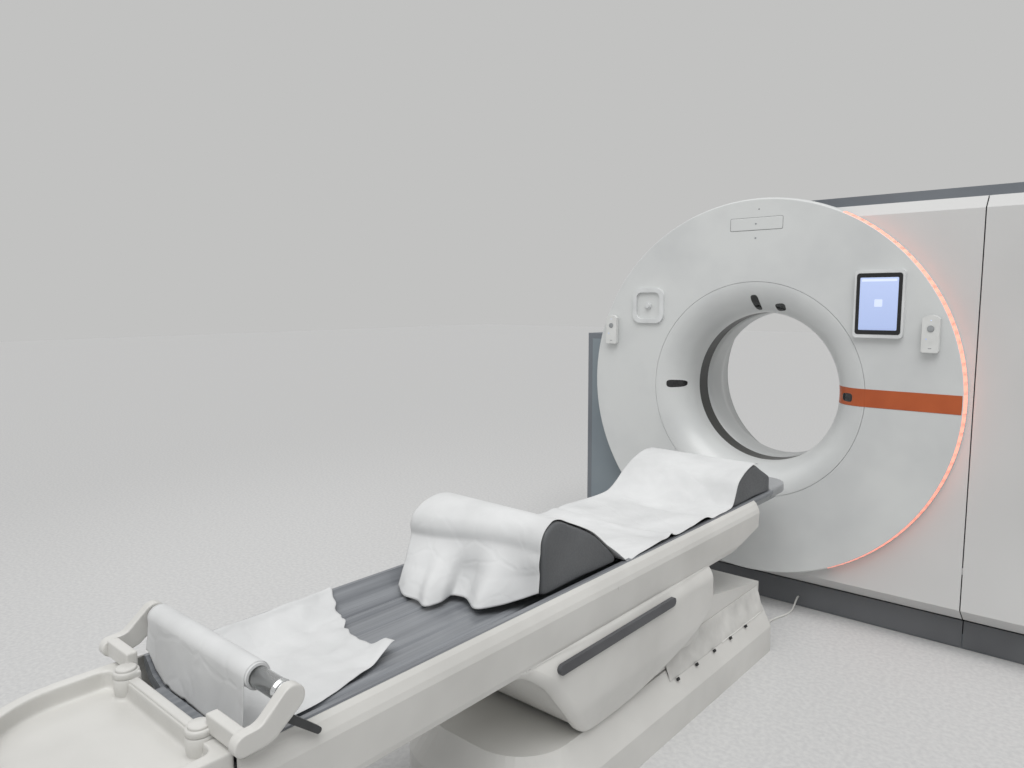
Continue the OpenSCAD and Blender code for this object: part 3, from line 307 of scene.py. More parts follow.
def moulded(name, dark, light, roughness, grain_mm, relief_mm, wash_m=0.35, coat=0.0):
    """Moulded or sprayed plastic: a slow drift of tone over wash_m, and a fine grain of grain_mm that is
    relief_mm deep. Sharp edges catch the light as if they were rounded."""
    made, tree, shader, place = blank(name, light, roughness, Coat_Weight=coat, Coat_Roughness=0.12)
    drift = noise(tree, place, 1 / wash_m, 3.0, Roughness=0.55)
    shade_between(tree, shader, drift, 0.3, 0.62, dark, light)
    grain = noise(tree, place, 1000 / grain_mm, 2.0)
    rough_between(tree, shader, grain, roughness - 0.05, roughness + 0.07)
    round_off = add(tree, "ShaderNodeBevel", {"Radius": 0.0025})
    relief(tree, shader, grain, 0.5, relief_mm / 1000, round_off.outputs["Normal"])
    return made


def worked_metal(name, dark, light, roughness, stretch, line_mm, relief_mm=0.02):
    """Bare metal with the fine lines that brushing, drawing or turning leaves. stretch is how finely they
    repeat on each axis."""
    made, tree, shader, place = blank(name, light, roughness, 1.0)
    lay = add(tree, "ShaderNodeMapping", {"Scale": stretch}, {"Vector": place})
    lines = noise(tree, lay.outputs["Vector"], 1000 / line_mm, 4.0)
    shade_between(tree, shader, lines, 0.3, 0.7, dark, light)
    rough_between(tree, shader, lines, roughness - 0.06, roughness + 0.08)
    relief(tree, shader, lines, 0.4, relief_mm / 1000)
    return made


# Sprayed polyurethane covers of the ring: semi-gloss white with a faint orange peel
ring_white = moulded("sprayed polyurethane, white", "CCCECE", "D8DAD9", 0.34, 9, 0.06, coat=0.12)
# The same paint on the table, a little warmer and more worn by cleaning
table_white = moulded("sprayed polyurethane, table white", "C9C8C4", "D6D5D1", 0.38, 9, 0.06, coat=0.08)
# Painted sheet steel of the flat panels: smoother and flatter than the mouldings
panel_white = moulded("powder-coated sheet, white", "C9C9C8", "D3D3D2", 0.42, 5, 0.05, wash_m=0.9)
# Small ABS housings of the docks and remotes
dock_white = moulded("moulded ABS, white", "D2D4D4", "DEE0E0", 0.30, 3, 0.03, wash_m=0.12)
remote_white = moulded("moulded ABS, remote white", "D4D5D3", "E0E1DF", 0.33, 3, 0.03, wash_m=0.08)
# Keys of the remotes: soft silicone, matt grey
key_grey = moulded("silicone key, grey", "8E9193", "A0A3A5", 0.55, 2, 0.03, wash_m=0.02)
# Textured powder coat of the cabinet body and the shoulder, a blue grey
slate_paint = moulded("powder-coated sheet, slate", "6A6F75", "767B81", 0.50, 4, 0.09, wash_m=0.5)
# The shoulder's slate is painted lighter than the cabinet's to make up for the shade that falls on its face:
# painted light
shoulder_slate_painted_light = moulded("powder-coated sheet, slate lightened against shade", "78828A", "848E94", 0.48, 4, 0.09, wash_m=0.5)
# Plinth panels: a darker and duller powder coat
plinth_paint = moulded("powder-coated sheet, plinth grey", "5C5E61", "6A6C6F", 0.46, 4, 0.10, wash_m=0.4)
# Painted and cast steel inside: dull, with a coarser peel than the covers
frame_paint = moulded("powder-coated weldment, grey", "6E7479", "7F868C", 0.50, 6, 0.12)
motor_paint = moulded("cast housing, hammered grey", "63686C", "777C80", 0.45, 5, 0.2)
plate_paint = moulded("powder-coated plate, grey", "6A6E72", "7A7E82", 0.48, 6, 0.12)
# Anodised plate, nylon mouldings and clips, and the lever: dark and dull against the white covers
detector_black = moulded("anodised plate, black", "17181A", "222427", 0.40, 3, 0.04)
black_moulding = moulded("glass-filled nylon, black", "141517", "1E2022", 0.55, 3, 0.06, wash_m=0.1)
clip_black = moulded("nylon clip, black", "121314", "1C1D1F", 0.45, 2, 0.03, wash_m=0.05)
lever_black = moulded("glass-filled nylon, charcoal", "2B2C2D", "3A3B3C", 0.48, 2, 0.05, wash_m=0.05)
# Strip along the shell: an extruded profile with a satin skin
strip_grey = moulded("extruded PVC, graphite", "46474A", "545558", 0.50, 3, 0.05, wash_m=0.3)
# Drive belt: dull rubber
belt_rubber = moulded("neoprene, black", "0F1011", "1A1B1C", 0.75, 3, 0.08)
# Cable sheath and hem cord: smooth plastic with a slight shine
cable_white = moulded("PVC sheath, white", "D4D4D0", "DEDEDA", 0.42, 2, 0.02, wash_m=0.05)
# Stripe across the cover: printed film, even in colour
stripe_orange = moulded("printed vinyl, orange", "AD5127", "BC5C2E", 0.36, 6, 0.02, wash_m=0.2)
# Steel and light metals: bright, with the lines that grinding, casting or drawing leaves
# The slip ring is brass, turned and yellow
bearing_steel = worked_metal("ground bearing steel", "9A9DA1", "B4B7BA", 0.28, (1.0, 14.0, 1.0), 6)
tube_alloy = worked_metal("cast aluminium", "A9ACAF", "BFC2C4", 0.42, (1.0, 1.0, 1.0), 4, 0.1)
collimator_steel = worked_metal("milled steel", "8B8E92", "A6A9AC", 0.32, (1.0, 10.0, 1.0), 3)
rail_alloy = worked_metal("anodised aluminium extrusion", "AEB0B2", "C4C6C8", 0.33, (8.0, 0.2, 8.0), 4)
core_steel = worked_metal("polished steel tube", "DADCDD", "EEEFEF", 0.16, (1.0, 9.0, 9.0), 8, 0.01)
slip_brass = worked_metal("turned brass", "A77B3A", "C7994E", 0.30, (1.0, 12.0, 1.0), 5)


def scan_film():
    """Thin polymer film over the X-ray window: near black, satin, with a faint mottle."""
    made, tree, shader, place = blank("polyester film, black", "24251F", 0.35)
    mottle = noise(tree, place, 30.0, 3.0)
    shade_between(tree, shader, mottle, 0.3, 0.7, "1D1E1A", "2A2B26")
    rough_between(tree, shader, mottle, 0.30, 0.42)
    return made


def sensor_pane():
    """Smoked acrylic over the laser slots: black, glossy, with a little dust."""
    made, tree, shader, place = blank("smoked acrylic", "0C0D0F", 0.08, Coat_Weight=0.5)
    dust = noise(tree, place, 220.0, 2.0)
    shade_between(tree, shader, dust, 0.4, 0.8, "0A0B0D", "16181A")
    rough_between(tree, shader, dust, 0.06, 0.16)
    return made


def glowing_strip():
    """Diffuser of the ring light: frosted acrylic lit coral from behind, a little uneven along its length."""
    made, tree, shader, place = blank("frosted acrylic, lit coral", "F2A593", 0.5, Emission_Strength=1.15)
    uneven = noise(tree, place, 2.2, 1.0)
    shade_between(tree, shader, uneven, 0.35, 0.65, "F58670", "FF9580", "Emission Color")
    return made


def table_tissue():
    """Crepe tissue paper from the roll: matt white, with crushed creases and a crepe of about 3 mm."""
    made, tree, shader, place = blank("crepe tissue paper", "D8D9D9", 0.85, Sheen_Weight=0.1)
    warp = add(tree, "ShaderNodeTexNoise", {"Scale": 9.0, "Detail": 2.0}, {"Vector": place})
    bent = add(tree, "ShaderNodeVectorMath", {"operation": "MULTIPLY_ADD", 1: (0.06, 0.06, 0.06)},
               {0: warp.outputs["Color"], 2: place})
    crease = add(tree, "ShaderNodeTexVoronoi", {"feature": "DISTANCE_TO_EDGE", "Scale": 11.0},
                 {"Vector": bent.outputs["Vector"]})
    fold = add(tree, "ShaderNodeMapRange",
               {"From Max": 0.12, "To Min": 0.0, "To Max": 1.0, "interpolation_type": "SMOOTHSTEP"},
               {"Value": crease.outputs["Distance"]})
    shade_between(tree, shader, noise(tree, place, 6.0, 4.0), 0.3, 0.7, "CDCECE", "DCDDDD")
    folded = relief(tree, shader, fold.outputs["Result"], 0.22, 0.0025)
    relief(tree, shader, noise(tree, place, 330.0, 2.0), 0.25, 0.0004, folded)
    return made


def coated_foam():
    """Foam support dipped in a vinyl skin: dark grey satin with a pebble of about 2 mm, drawn at 6 mm so that
    it shows."""
    made, tree, shader, place = blank("vinyl-coated foam, grey", "5A5C5E", 0.52)
    shade_between(tree, shader, noise(tree, place, 5.0, 3.0), 0.3, 0.7, "515355", "626466")
    pebble = add(tree, "ShaderNodeTexVoronoi", {"Scale": 165.0}, {"Vector": place})
    rough_between(tree, shader, pebble.outputs["Distance"], 0.46, 0.6)
    relief(tree, shader, pebble.outputs["Distance"], 0.35, 0.0006)
    return made


def carbon_laminate():
    """Gel-coated carbon laminate of the tabletop: graphite grey with long pale streaks that run along its
    length."""
    made, tree, shader, place = blank("gel-coated carbon laminate", "7C7F83", 0.34, Coat_Weight=0.15)
    lay = add(tree, "ShaderNodeMapping", {"Scale": (60.0, 1.1, 60.0)}, {"Vector": place})
    streaks = noise(tree, lay.outputs["Vector"], 1.0, 4.0, Roughness=0.6)
    shade_between(tree, shader, streaks, 0.32, 0.72, "6B6E73", "8D9094")
    rough_between(tree, shader, streaks, 0.28, 0.42)
    relief(tree, shader, noise(tree, place, 260.0, 2.0), 0.3, 0.0003)
    return made


def skirt_fabric():
    """Coated polyester skirt: off-white, plain weave of 1.5 mm drawn at 4 mm so that it shows, with soft grey
    patches at random: painted shade that stands for hollows."""
    made, tree, shader, place = blank("coated polyester, off-white", "CFCECA", 0.62, Sheen_Weight=0.15)
    shade_between(tree, shader, noise(tree, place, 14.0, 3.0), 0.3, 0.7, "C2C1BD", "D6D5D1")
    weave = add(tree, "ShaderNodeTexChecker", {"Scale": 250.0}, {"Vector": place})
    relief(tree, shader, weave.outputs["Fac"], 0.2, 0.0003)
    return made


# Heights of the lit page's foot and top
PAGE_LOW_Z, PAGE_HIGH_Z = 1.29, 1.50


def lit_screen(name, low, high, strength):
    """Tablet display behind glass, glossy: a pale page that is a little brighter towards its top."""
    made, tree, shader, place = blank(name, high, 0.1, Emission_Strength=strength)
    lay = add(tree, "ShaderNodeSeparateXYZ", links={"Vector": place})
    rise = add(tree, "ShaderNodeMapRange", {"From Min": PAGE_LOW_Z, "From Max": PAGE_HIGH_Z},
               {"Value": lay.outputs["Z"]})
    shade_between(tree, shader, rise.outputs["Result"], 0.0, 1.0, low, high, "Emission Color")
    return made


# The lit page and its pale tile, the glass around it, a shadow gap, small screws and the cradle's grey cap
screen_glow = lit_screen("tablet display, lit page", "8B9CC4", "A9B7DA", 0.55)
tile_white = lit_screen("tablet display, lit tile", "B4C0DC", "C6CFE6", 0.6)
bezel_black = moulded("tablet glass, black", "0E0F11", "16171A", 0.14, 3, 0.01, wash_m=0.1, coat=0.3)
gap_black = moulded("shadow gap, dark grey", "2E3032", "3A3C3E", 0.7, 3, 0.03)
screw_steel = worked_metal("zinc-plated screw", "9DA0A3", "B7BABD", 0.3, (6.0, 1.0, 6.0), 2)
cap_grey = moulded("glass-fibre moulding, light grey", "96989A", "A6A8AA", 0.4, 5, 0.05, wash_m=0.2)
film = scan_film()
sensor_glass = sensor_pane()
coral_light = glowing_strip()
tissue = table_tissue()
foam = coated_foam()
laminate = carbon_laminate()
skirt_cloth = skirt_fabric()

wears = {
    frame_paint: "base_frame stator_frame",
    bearing_steel: "outer_race rotor_drum motor_pulley lift_screw",
    black_moulding: "brush_block lift_motor",
    motor_paint: "drive_motor",
    belt_rubber: "drive_belt",
    tube_alloy: "x_ray_tube heat_exchanger",
    collimator_steel: "collimator",
    detector_black: "detector_arc",
    slate_paint: "generator power_cabinet core_cover",
    slip_brass: "slip_ring",
    ring_white: "front_cover front_funnel rear_funnel rear_cover",
    table_white: "base_cover lower_cover mid_cover shell_cover beam_covers beam_nose "
                 "foot_tray roll_holder right_arm",
    coral_light: "light_ring",
    film: "scan_window",
    panel_white: "side_panel cabinet_panel",
    shoulder_slate_painted_light: "left_panel",
    plinth_paint: "plinth_panels",
    stripe_orange: "accent_stripe",
    sensor_glass: "sensor_windows",
    bezel_black: "tablet",
    dock_white: "tablet_dock empty_dock remote_holders",
    remote_white: "remotes",
    key_grey: "right_button left_button",
    plate_paint: "base_plate outer_column inner_column",
    skirt_cloth: "skirt",
    clip_black: "clips",
    cable_white: "table_cable",
    strip_grey: "side_strip",
    rail_alloy: "beam_frame",
    laminate: "cradle",
    foam: "head_support knee_support",
    tissue: "paper_sheets paper_roll",
    lever_black: "arm_lever",
}
for finish, names in wears.items():
    for node in names.split():
        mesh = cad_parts[node].data
        mesh.materials.clear()
        mesh.materials.append(finish)


# Cable from the table base to the ring, its points in millimetres
CABLE_R = 0.004
route = np.array([
    [214, -617, 140], [214, -600, 140], [216, -575, 134], [226, -556, 112], [236, -548, 76],
    [238, -542, 40], [232, -528, 14], [218, -500, 5], [196, -456, 5], [180, -410, 5],
    [176, -360, 5], [184, -310, 5], [198, -264, 5], [206, -216, 5], [206, -180, 8],
    [204, -150, 20], [204, -126, 38], [204, -110, 45], [204, -101, 45]]) / 1000
cable_line = through(route, 110)
cable = piece("lead_to_ring", tube(cable_line, CABLE_R, 14), cable_white, "frame",
              replaces=["table_cable"])


# Foam supports
def arc(y, z, radius_y, radius_z, start, stop, count=16):
    """Points of an ellipse about (y, z), with 0 degrees towards +Y."""
    a = np.radians(np.linspace(start, stop, count))
    return np.stack([y + radius_y * np.cos(a), z + radius_z * np.sin(a)], -1)


HEAD_Y, HEAD_Z, HEAD_DEEP, HEAD_HIGH = -0.710, 0.656, 0.190, 0.119
knee_top = np.array([
    (-2.020, 0.764), (-2.0185, 0.790), (-2.0075, 0.811), (-1.9865, 0.826), (-1.9685, 0.8325),
    (-1.940, 0.8275), (-1.9125, 0.816), (-1.8416, 0.783), (-1.792, 0.7565), (-1.7269, 0.7065),
    (-1.692, 0.676), (-1.679, 0.662)])
knee_loop = np.concatenate([[(-2.020, 0.6455)], through(knee_top, 60), [(-1.675, 0.650), (-1.677, 0.6455)]])
head_loop = np.concatenate([[(-0.900, 0.6455), (-0.8985, 0.656)],
                            arc(HEAD_Y, HEAD_Z, HEAD_DEEP, HEAD_HIGH, 165, 95),
                            [(-0.700, 0.7695), (-0.570, 0.7030), (-0.570, 0.6455)]])
supports = {"knee_support": (knee_loop, 0.222, 3), "head_support": (head_loop, 0.235, 4)}
for node, (loop, half, seed) in supports.items():
    loop = relaxed(even(loop, 0.006, closed=True), 2)
    pad = piece(node + "_foam", soft_slab(loop, -half, half, 0.014, 0.0006, seed), foam, "cradle_top",
                replaces=[node])


# Grey cap of the cradle's end: a plan outline with round corners, at rows of (share of its size, z)
CAP_CORNER = 0.085
corner_turn = np.radians(np.arange(0, 91, 10))
tip = np.stack([0.159 + CAP_CORNER * np.cos(corner_turn), -0.457 + CAP_CORNER * np.sin(corner_turn)], -1)
tip = np.concatenate([[(-0.244, -0.5685), (0.244, -0.5685)], tip, tip[::-1] * (-1, 1)])
tip = rounded(tip, 0.006, 2)
cap_middle = np.array([0.0, -0.47])
cap_rows = [(0.0, 0.613), (0.96, 0.613), (0.985, 0.615), (1.0, 0.622), (1.0, 0.645), (0.994, 0.650),
            (0.975, 0.6525), (0.93, 0.653), (0.60, 0.653), (0.0, 0.653)]
cap = np.array([np.concatenate([cap_middle + (tip - cap_middle) * k, np.full((len(tip), 1), z)], 1)
                for k, z in cap_rows])
piece("cradle_end_cap", grid(cap, along=True), cap_grey, "cradle_top",
      replaces=["head_support"])


# Tissue paper on the supports
# Matched points of the long sheet's two edges, (y, z) of the near one and (y, z) of the far one, from the
# fold over the knee support to the end on the head support
sheet_edges = np.array([
    (-2.0260, 0.7600, -2.090, 0.745), (-2.0245, 0.7850, -2.0925, 0.772), (-2.0185, 0.8020, -2.082, 0.798),
    (-2.0065, 0.8180, -2.055, 0.8195), (-1.9870, 0.8310, -2.020, 0.833), (-1.9685, 0.8372, -1.975, 0.8385),
    (-1.9400, 0.8320, -1.936, 0.832), (-1.9125, 0.8195, -1.905, 0.820), (-1.8416, 0.7880, -1.8587, 0.800),
    (-1.7920, 0.7615, -1.800, 0.769), (-1.7269, 0.7115, -1.741, 0.727), (-1.6900, 0.6820, -1.700, 0.698),
    (-1.6620, 0.6570, -1.660, 0.676), (-1.6450, 0.6445, -1.607, 0.667), (-1.5800, 0.6500, -1.550, 0.665),
    (-1.5434, 0.6515, -1.520, 0.664), (-1.4500, 0.6570, -1.450, 0.662), (-1.3946, 0.6600, -1.390, 0.665),
    (-1.3830, 0.6655, -1.380, 0.662), (-1.3696, 0.6580, -1.360, 0.664), (-1.2479, 0.6545, -1.250, 0.662),
    (-1.1172, 0.6580, -1.120, 0.659), (-1.0928, 0.6490, -1.090, 0.660), (-1.0300, 0.6490, -1.045, 0.666),
    (-0.9636, 0.6490, -0.990, 0.693), (-0.9213, 0.6580, -0.935, 0.731), (-0.9010, 0.6850, -0.900, 0.750),
    (-0.8719, 0.7313, -0.860, 0.767), (-0.8400, 0.7510, -0.820, 0.779), (-0.8063, 0.7650, -0.785, 0.786),
    (-0.7600, 0.7765, -0.755, 0.787), (-0.7127, 0.7805, -0.7127, 0.784), (-0.6900, 0.7735, -0.690, 0.7775)])


def long_sheet():
    """Position over (u, v): u runs across the table from the far edge to the near one, and v from the hem
    that hangs at the foot side, up over the knee support, along the cradle and up the head support. The
    middle is the two edges blended, sagging between the supports, with waves, and never inside a support."""
    drop = 30
    line = through(sheet_edges, 250)[:, None]
    u = np.linspace(0, 1, 96)[None]
    lean = ease(u / 0.8)
    ys = line[..., 2] + (line[..., 0] - line[..., 2]) * lean
    z = line[..., 3] + (line[..., 1] - line[..., 3]) * lean
    far = np.interp(line[..., 2], [-2.03, -1.72, -1.62, -1.0, -0.9, -0.68],
                    [-0.212, -0.214, -0.226, -0.226, -0.224, -0.221])
    near = np.interp(line[..., 0], [-2.03, -1.72, -1.65, -1.3, -0.93, -0.88, -0.68],
                     [0.216, 0.221, 0.243, 0.241, 0.240, 0.237, 0.235])
    x = far + (near - far) * u
    flat = np.stack([x, ys], -1)
    inner = ease(np.minimum(u, 1 - u) / 0.12)
    free = ease((ys + 1.66) / 0.10) * ease((-0.93 - ys) / 0.10)
    held = 0.10 + 0.90 * free
    waves = 0.0035 * ripple(flat * (0.6, 1.0), 5, 0.26) + 0.0030 * (0.4 - np.abs(ripple(flat, 8, 0.17)))
    z = z + inner * held * waves
    z = z - free * 0.010 * np.clip(1 - (x / 0.23) ** 2, 0, 1)
    crush = np.exp(-(((ys + 0.90) / 0.09) ** 2))
    z = z + crush * inner * 0.004 * (0.4 + ripple(flat * (1.0, 1.6), 17, 0.08))
    knee = np.interp(ys, knee_top[:, 0], knee_top[:, 1], left=0, right=0)
    head_y = np.linspace(-0.896, -0.700, 40)
    dome = HEAD_Z + HEAD_HIGH * np.sqrt(np.clip(1 - ((head_y - HEAD_Y) / HEAD_DEEP) ** 2, 0, 1))
    head = np.interp(ys, head_y, dome, left=0, right=0)
    cover = np.maximum(knee, head) + 0.0032
    z = np.maximum(z, np.where(np.abs(x) < 0.236, cover, 0))
    top = np.stack([x, ys, z], -1)
    # The part that hangs: the hem's outline, pleated, below the fold over the knee support
    hem = through([(-0.178, -2.178, 0.615), (-0.132, -2.194, 0.603), (-0.080, -2.190, 0.600),
                   (-0.036, -2.204, 0.600), (-0.020, -2.165, 0.602), (-0.026, -2.110, 0.605),
                   (0.006, -2.102, 0.606), (0.048, -2.118, 0.605), (0.088, -2.134, 0.606),
                   (0.124, -2.098, 0.611), (0.160, -2.056, 0.624), (0.216, -2.032, 0.653)], 96)
    w = np.linspace(0, 1, drop)[:-1, None, None]
    down = w[..., 0]
    fold_line = top[0][None]
    trend = np.interp(hem[:, 0], [-0.18, 0.0, 0.22], [-2.170, -2.130, -2.034])
    fall = fold_line + (hem[None] - fold_line) * np.concatenate([w**0.9, w, w**0.95], -1)
    lean_out = (trend - fold_line[..., 1]) * down**1.25
    fall[..., 1] = fold_line[..., 1] + lean_out + (hem[:, 1] - trend) * ease(down / 0.85)
    fall[..., 1] -= 0.004 * np.sin(np.pi * np.minimum(down * 2.0, 1))
    fall = fall[1:][::-1]
    fall[..., 1] += 0.005 * ripple(fall[..., [0, 2]] * (1.0, 0.4), 21, 0.09) * down[1:][::-1]
    return np.concatenate([fall, top])


def walled(made, thick, offset):
    """Gives an open surface a wall, thick metres thick: about it at offset 0, and outside it at 1."""
    skin = made.modifiers.new("wall", "SOLIDIFY")
    skin.thickness, skin.offset = thick, offset
    return made


def cloth(name, points, finish, thick, body, replaces=()):
    """A thin sheet through a grid of points, thick metres thick."""
    return walled(piece(name, grid(points), finish, body, closed=False, replaces=replaces), thick, 0.0)


TISSUE_THICK = 0.0008
sheet_grid = long_sheet()
long_paper = cloth("tissue_over_supports", sheet_grid, tissue, TISSUE_THICK, "cradle_top",
                   replaces=["paper_sheets"])


# Paper roll, its tail and the steel core
ROLL_Y, ROLL_Z, ROLL_R, CORE_R = -2.800, 0.720, 0.026, 0.020
WRAP_R = ROLL_R + TISSUE_THICK
# Section of the cradle's trough, half of it, in millimetres
trough_x = np.array([0, 56, 63, 71, 78, 124, 133, 144, 153, 198, 227, 231, 242, 245]) / 1000
trough_z = np.array([590, 590, 594, 594, 590, 592, 599, 599, 595, 612, 641, 645, 645, 642]) / 1000


def on_core(profile):
    """A closed profile of (x, radius) turned about the paper roll's axis."""
    return turned([(r, x) for x, r in profile], 0, (ROLL_Y, ROLL_Z), 64, around=True)


wound = [(-0.246, CORE_R + 0.0002), (-0.246, ROLL_R - 0.001), (-0.245, ROLL_R - 0.0002), (-0.12, ROLL_R),
         (0.05, ROLL_R - 0.0003), (0.168, ROLL_R - 0.0002), (0.1694, ROLL_R - 0.001),
         (0.1682, ROLL_R - 0.002), (0.1700, ROLL_R - 0.003), (0.1690, ROLL_R - 0.0045),
         (0.1698, CORE_R + 0.0002)]
bar = [(-0.258, 0.017), (-0.258, 0.0193), (-0.2573, 0.020), (0.241, 0.020), (0.2415, 0.0212),
       (0.2465, 0.0212), (0.247, 0.020), (0.2495, 0.020), (0.250, 0.0185), (0.2545, 0.0185),
       (0.255, 0.020), (0.2583, 0.020), (0.259, 0.0193), (0.259, 0.017)]
for name, profile, finish in (("wound_tissue", wound, tissue), ("steel_core", bar, core_steel)):
    piece(name, on_core(profile), finish, "roll", replaces=["paper_roll"])


def tail_sheet():
    """Position over (u, v): u across the roll and v along the paper, over the roll, down from its foot side
    into the trough and along it. In the trough the height is the trough's own plus crumples that grow towards
    the torn end."""
    across, down, run = 80, 26, 110
    u = np.linspace(0, 1, across)
    x0 = -0.240 + 0.404 * u
    end_y = np.interp(u, [0.0, 0.27, 0.56, 0.63, 0.82, 1.0], [-2.361, -2.392, -2.434, -2.447, -2.424, -2.412])
    end_y = end_y + 0.004 * np.sin(u * 23) + 0.003 * np.sin(u * 51 + 1)
    floor_z = np.interp(np.abs(x0), trough_x, trough_z)
    turn_y = ROLL_Y - WRAP_R
    w = np.linspace(0, 1, down)[:, None]
    fall_z = ROLL_Z + (floor_z[None] + 0.010 - ROLL_Z) * w
    fall_y = turn_y - 0.007 * w**1.5 + 0.0012 * np.sin(u * 17)[None] * w
    falls = np.stack([np.broadcast_to(x0, fall_z.shape), fall_y, fall_z], -1)
    a = np.radians(np.linspace(-40, 174, 40))[:, None]
    wrap = np.stack([np.broadcast_to(x0, (40, across)), ROLL_Y + WRAP_R * np.cos(a) + 0 * x0,
                     ROLL_Z + WRAP_R * np.sin(a) + 0 * x0], -1)
    v = np.linspace(0, 1, run)[:, None]
    y = (turn_y - 0.001) + (end_y[None] - turn_y) * v
    near = np.interp(y, [-2.84, -2.69, -2.62, -2.50, -2.41], [0.164, 0.160, 0.146, 0.116, 0.094])
    far = np.interp(y, [-2.84, -2.78, -2.36], [-0.240, -0.232, -0.230])
    x = far + (near - far) * u[None]
    z = np.interp(np.abs(x), trough_x, trough_z)
    z = np.maximum(z, np.interp(np.abs(x), [0, 0.13, 0.153, 0.245], [0.592, 0.598, 0.600, 0.646]))
    flat = np.stack([x, y], -1)
    crumple = ease((v - 0.35) / 0.65) * 0.0055 * (1 + ripple(flat, 33, 0.075))
    z = z + 0.0022 + 0.0016 * (1 + ripple(flat, 31, 0.16)) + crumple
    curl = ease((v - 0.80) / 0.2)
    lifted = 0.020 * np.exp(-((u[None] - 0.97) / 0.10) ** 2) + 0.008 * np.exp(-((u[None] - 0.60) / 0.08) ** 2)
    z = z + curl * (0.004 + lifted)
    lie = np.stack([x, y, z], -1)
    return np.concatenate([wrap, falls[1:], lie[2:]])


tail_grid = tail_sheet()
tail = cloth("tissue_from_roll", tail_grid, tissue, TISSUE_THICK, "cradle_top",
             replaces=["paper_sheets"])


# Hanging shell of the table
SHELL_HALF = 0.280
CREASE_Z, CREASE_SOFT = 0.315, 0.006


def shell_half_width(z):
    """Half width at height z: level above the crease, drawn in below it, and rounded in towards the beam."""
    below = CREASE_SOFT * np.log1p(np.exp((CREASE_Z - z) / CREASE_SOFT))
    return SHELL_HALF - 0.28 * below - 0.018 * np.clip((z - 0.452) / 0.043, 0, 1) ** 2


def shell_parts():
    """Side view: an outline runs down the bow at the foot end, round the nose, along the lower edge and up
    the ring end. Each side is the flat between that outline and the beam, at the half width of its height. A
    quarter circle turns it over into a rim, and between the rims the bow is a face set back by 5 mm."""
    bow = through([(-2.250, 0.4945), (-2.185, 0.4885), (-2.130, 0.4725), (-2.056, 0.419), (-1.996, 0.348),
                   (-1.931, 0.269), (-1.892, 0.229), (-1.872, 0.2145), (-1.845, 0.2085)], 90)
    t = np.linspace(0, 1, 70)[1:]
    level = np.stack([np.linspace(-1.840, -1.742, 12), np.full(12, 0.208)], -1)
    sweep = np.stack([-1.740 + 0.590 * t, 0.208 + 0.150 * t**2], -1)
    rise = np.stack([np.full(16, -1.150), np.linspace(0.362, 0.4945, 16)], -1)
    line = even(np.concatenate([bow, level, sweep, rise]), 0.009)
    ahead = np.gradient(line, axis=0)
    inward = np.stack([-ahead[:, 1], ahead[:, 0]], -1) / np.linalg.norm(ahead, axis=1)[:, None]
    for _ in range(6):
        inward[1:-1] = 0.25 * inward[:-2] + 0.5 * inward[1:-1] + 0.25 * inward[2:]
    inward /= np.linalg.norm(inward, axis=1)[:, None]
    inward *= np.sign(inward[len(inward) // 2, 1])
    y = line[:, 0]
    radius = (0.010 + 0.017 * (1 - ease((y + 1.93) / 0.13)))[:, None]
    start = line + inward * radius
    share = np.linspace(0, 1, len(line))[:, None]
    top = np.concatenate([-2.215 + (2.215 - 1.162) * share, np.full_like(share, 0.502)], 1)
    v = np.linspace(1, 0, 26)[None, :, None]
    flat = start[:, None] + (top - start)[:, None] * v**1.2
    side = np.concatenate([shell_half_width(flat[..., 1])[..., None], flat], -1)
    a = np.linspace(0, np.pi / 2, 9)[None, 1:, None]
    depth = radius[:, None] * (1 - np.sin(a))
    rim_line = line[:, None] + inward[:, None] * depth
    edge = shell_half_width(start[:, 1])[:, None, None] - radius[:, None] * (1 - np.cos(a))
    rim = np.concatenate([edge, rim_line], -1)
    lip = rim[:, -1:] - (0.006, 0, 0)
    near = np.concatenate([side, rim, lip], 1)
    far = near * (-1, 1, 1)
    bow_count = int(np.argmax(y > -1.86))
    edge_x = lip[:bow_count, 0, 0]
    steps = [(1.0, 0.0), (1.0, 0.0012), (0.994, 0.0042), (0.985, 0.005), (0.5, 0.005), (0.0, 0.005)]
    rows = [np.concatenate([(edge_x * k)[:, None], line[:bow_count] + inward[:bow_count] * back], 1)
            for k, back in steps]
    rows = rows + [row * (-1, 1, 1) for row in rows[-2::-1]]
    face = np.array(rows).transpose(1, 0, 2)
    return near[:, ::-1], far, face


near_side, far_side, bow_face = shell_parts()
walls = [("shell_near_side", near_side, 1.0), ("shell_far_side", far_side, 1.0), ("shell_bow", bow_face, 1.0)]
end_z = np.linspace(0.360, 0.4945, 20)[:, None]
end_in = np.where(end_z > 0.373, 0.0, 0.229)
end_x = end_in + (shell_half_width(end_z) - 0.004 - end_in) * np.linspace(0, 1, 24)[None]
for name, sign in (("shell_end_near", 1.0), ("shell_end_far", -1.0)):
    points = np.stack([sign * end_x, np.full_like(end_x, -1.1535), np.broadcast_to(end_z, end_x.shape)], -1)
    walls.append((name, points, 0.0))
for name, points, offset in walls:
    walled(piece(name, grid(points), table_white, "table_top_frame", closed=False,
                 replaces=["shell_cover"]), 0.003, offset)


# Mouldings of the foot end with soft edges
def softened(node, finish, body, cell, rounds):
    """The node's own shape with rounded edges: remeshed in cells and relaxed for some rounds."""
    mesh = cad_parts[node].data.copy()
    join_points(mesh, 1e-5)
    made = placed(node + "_moulding", mesh)
    mesh.materials.clear()
    mesh.materials.append(finish)
    fresh = made.modifiers.new("cells", "REMESH")
    fresh.mode, fresh.voxel_size, fresh.use_smooth_shade = "VOXEL", cell, True
    relax = made.modifiers.new("rounding", "SMOOTH")
    relax.factor, relax.iterations = 0.5, rounds
    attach(made, body)
    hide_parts(node)


softened("foot_tray", table_white, "cradle_top", 0.0026, 14)


# Holder of the paper roll
def bar_loop(y0, y1, z0, z1):
    """Rounded rectangle in (y, z)."""
    return rounded([(y0, z0), (y1, z0), (y1, z1), (y0, z1)], 0.0012, 8)


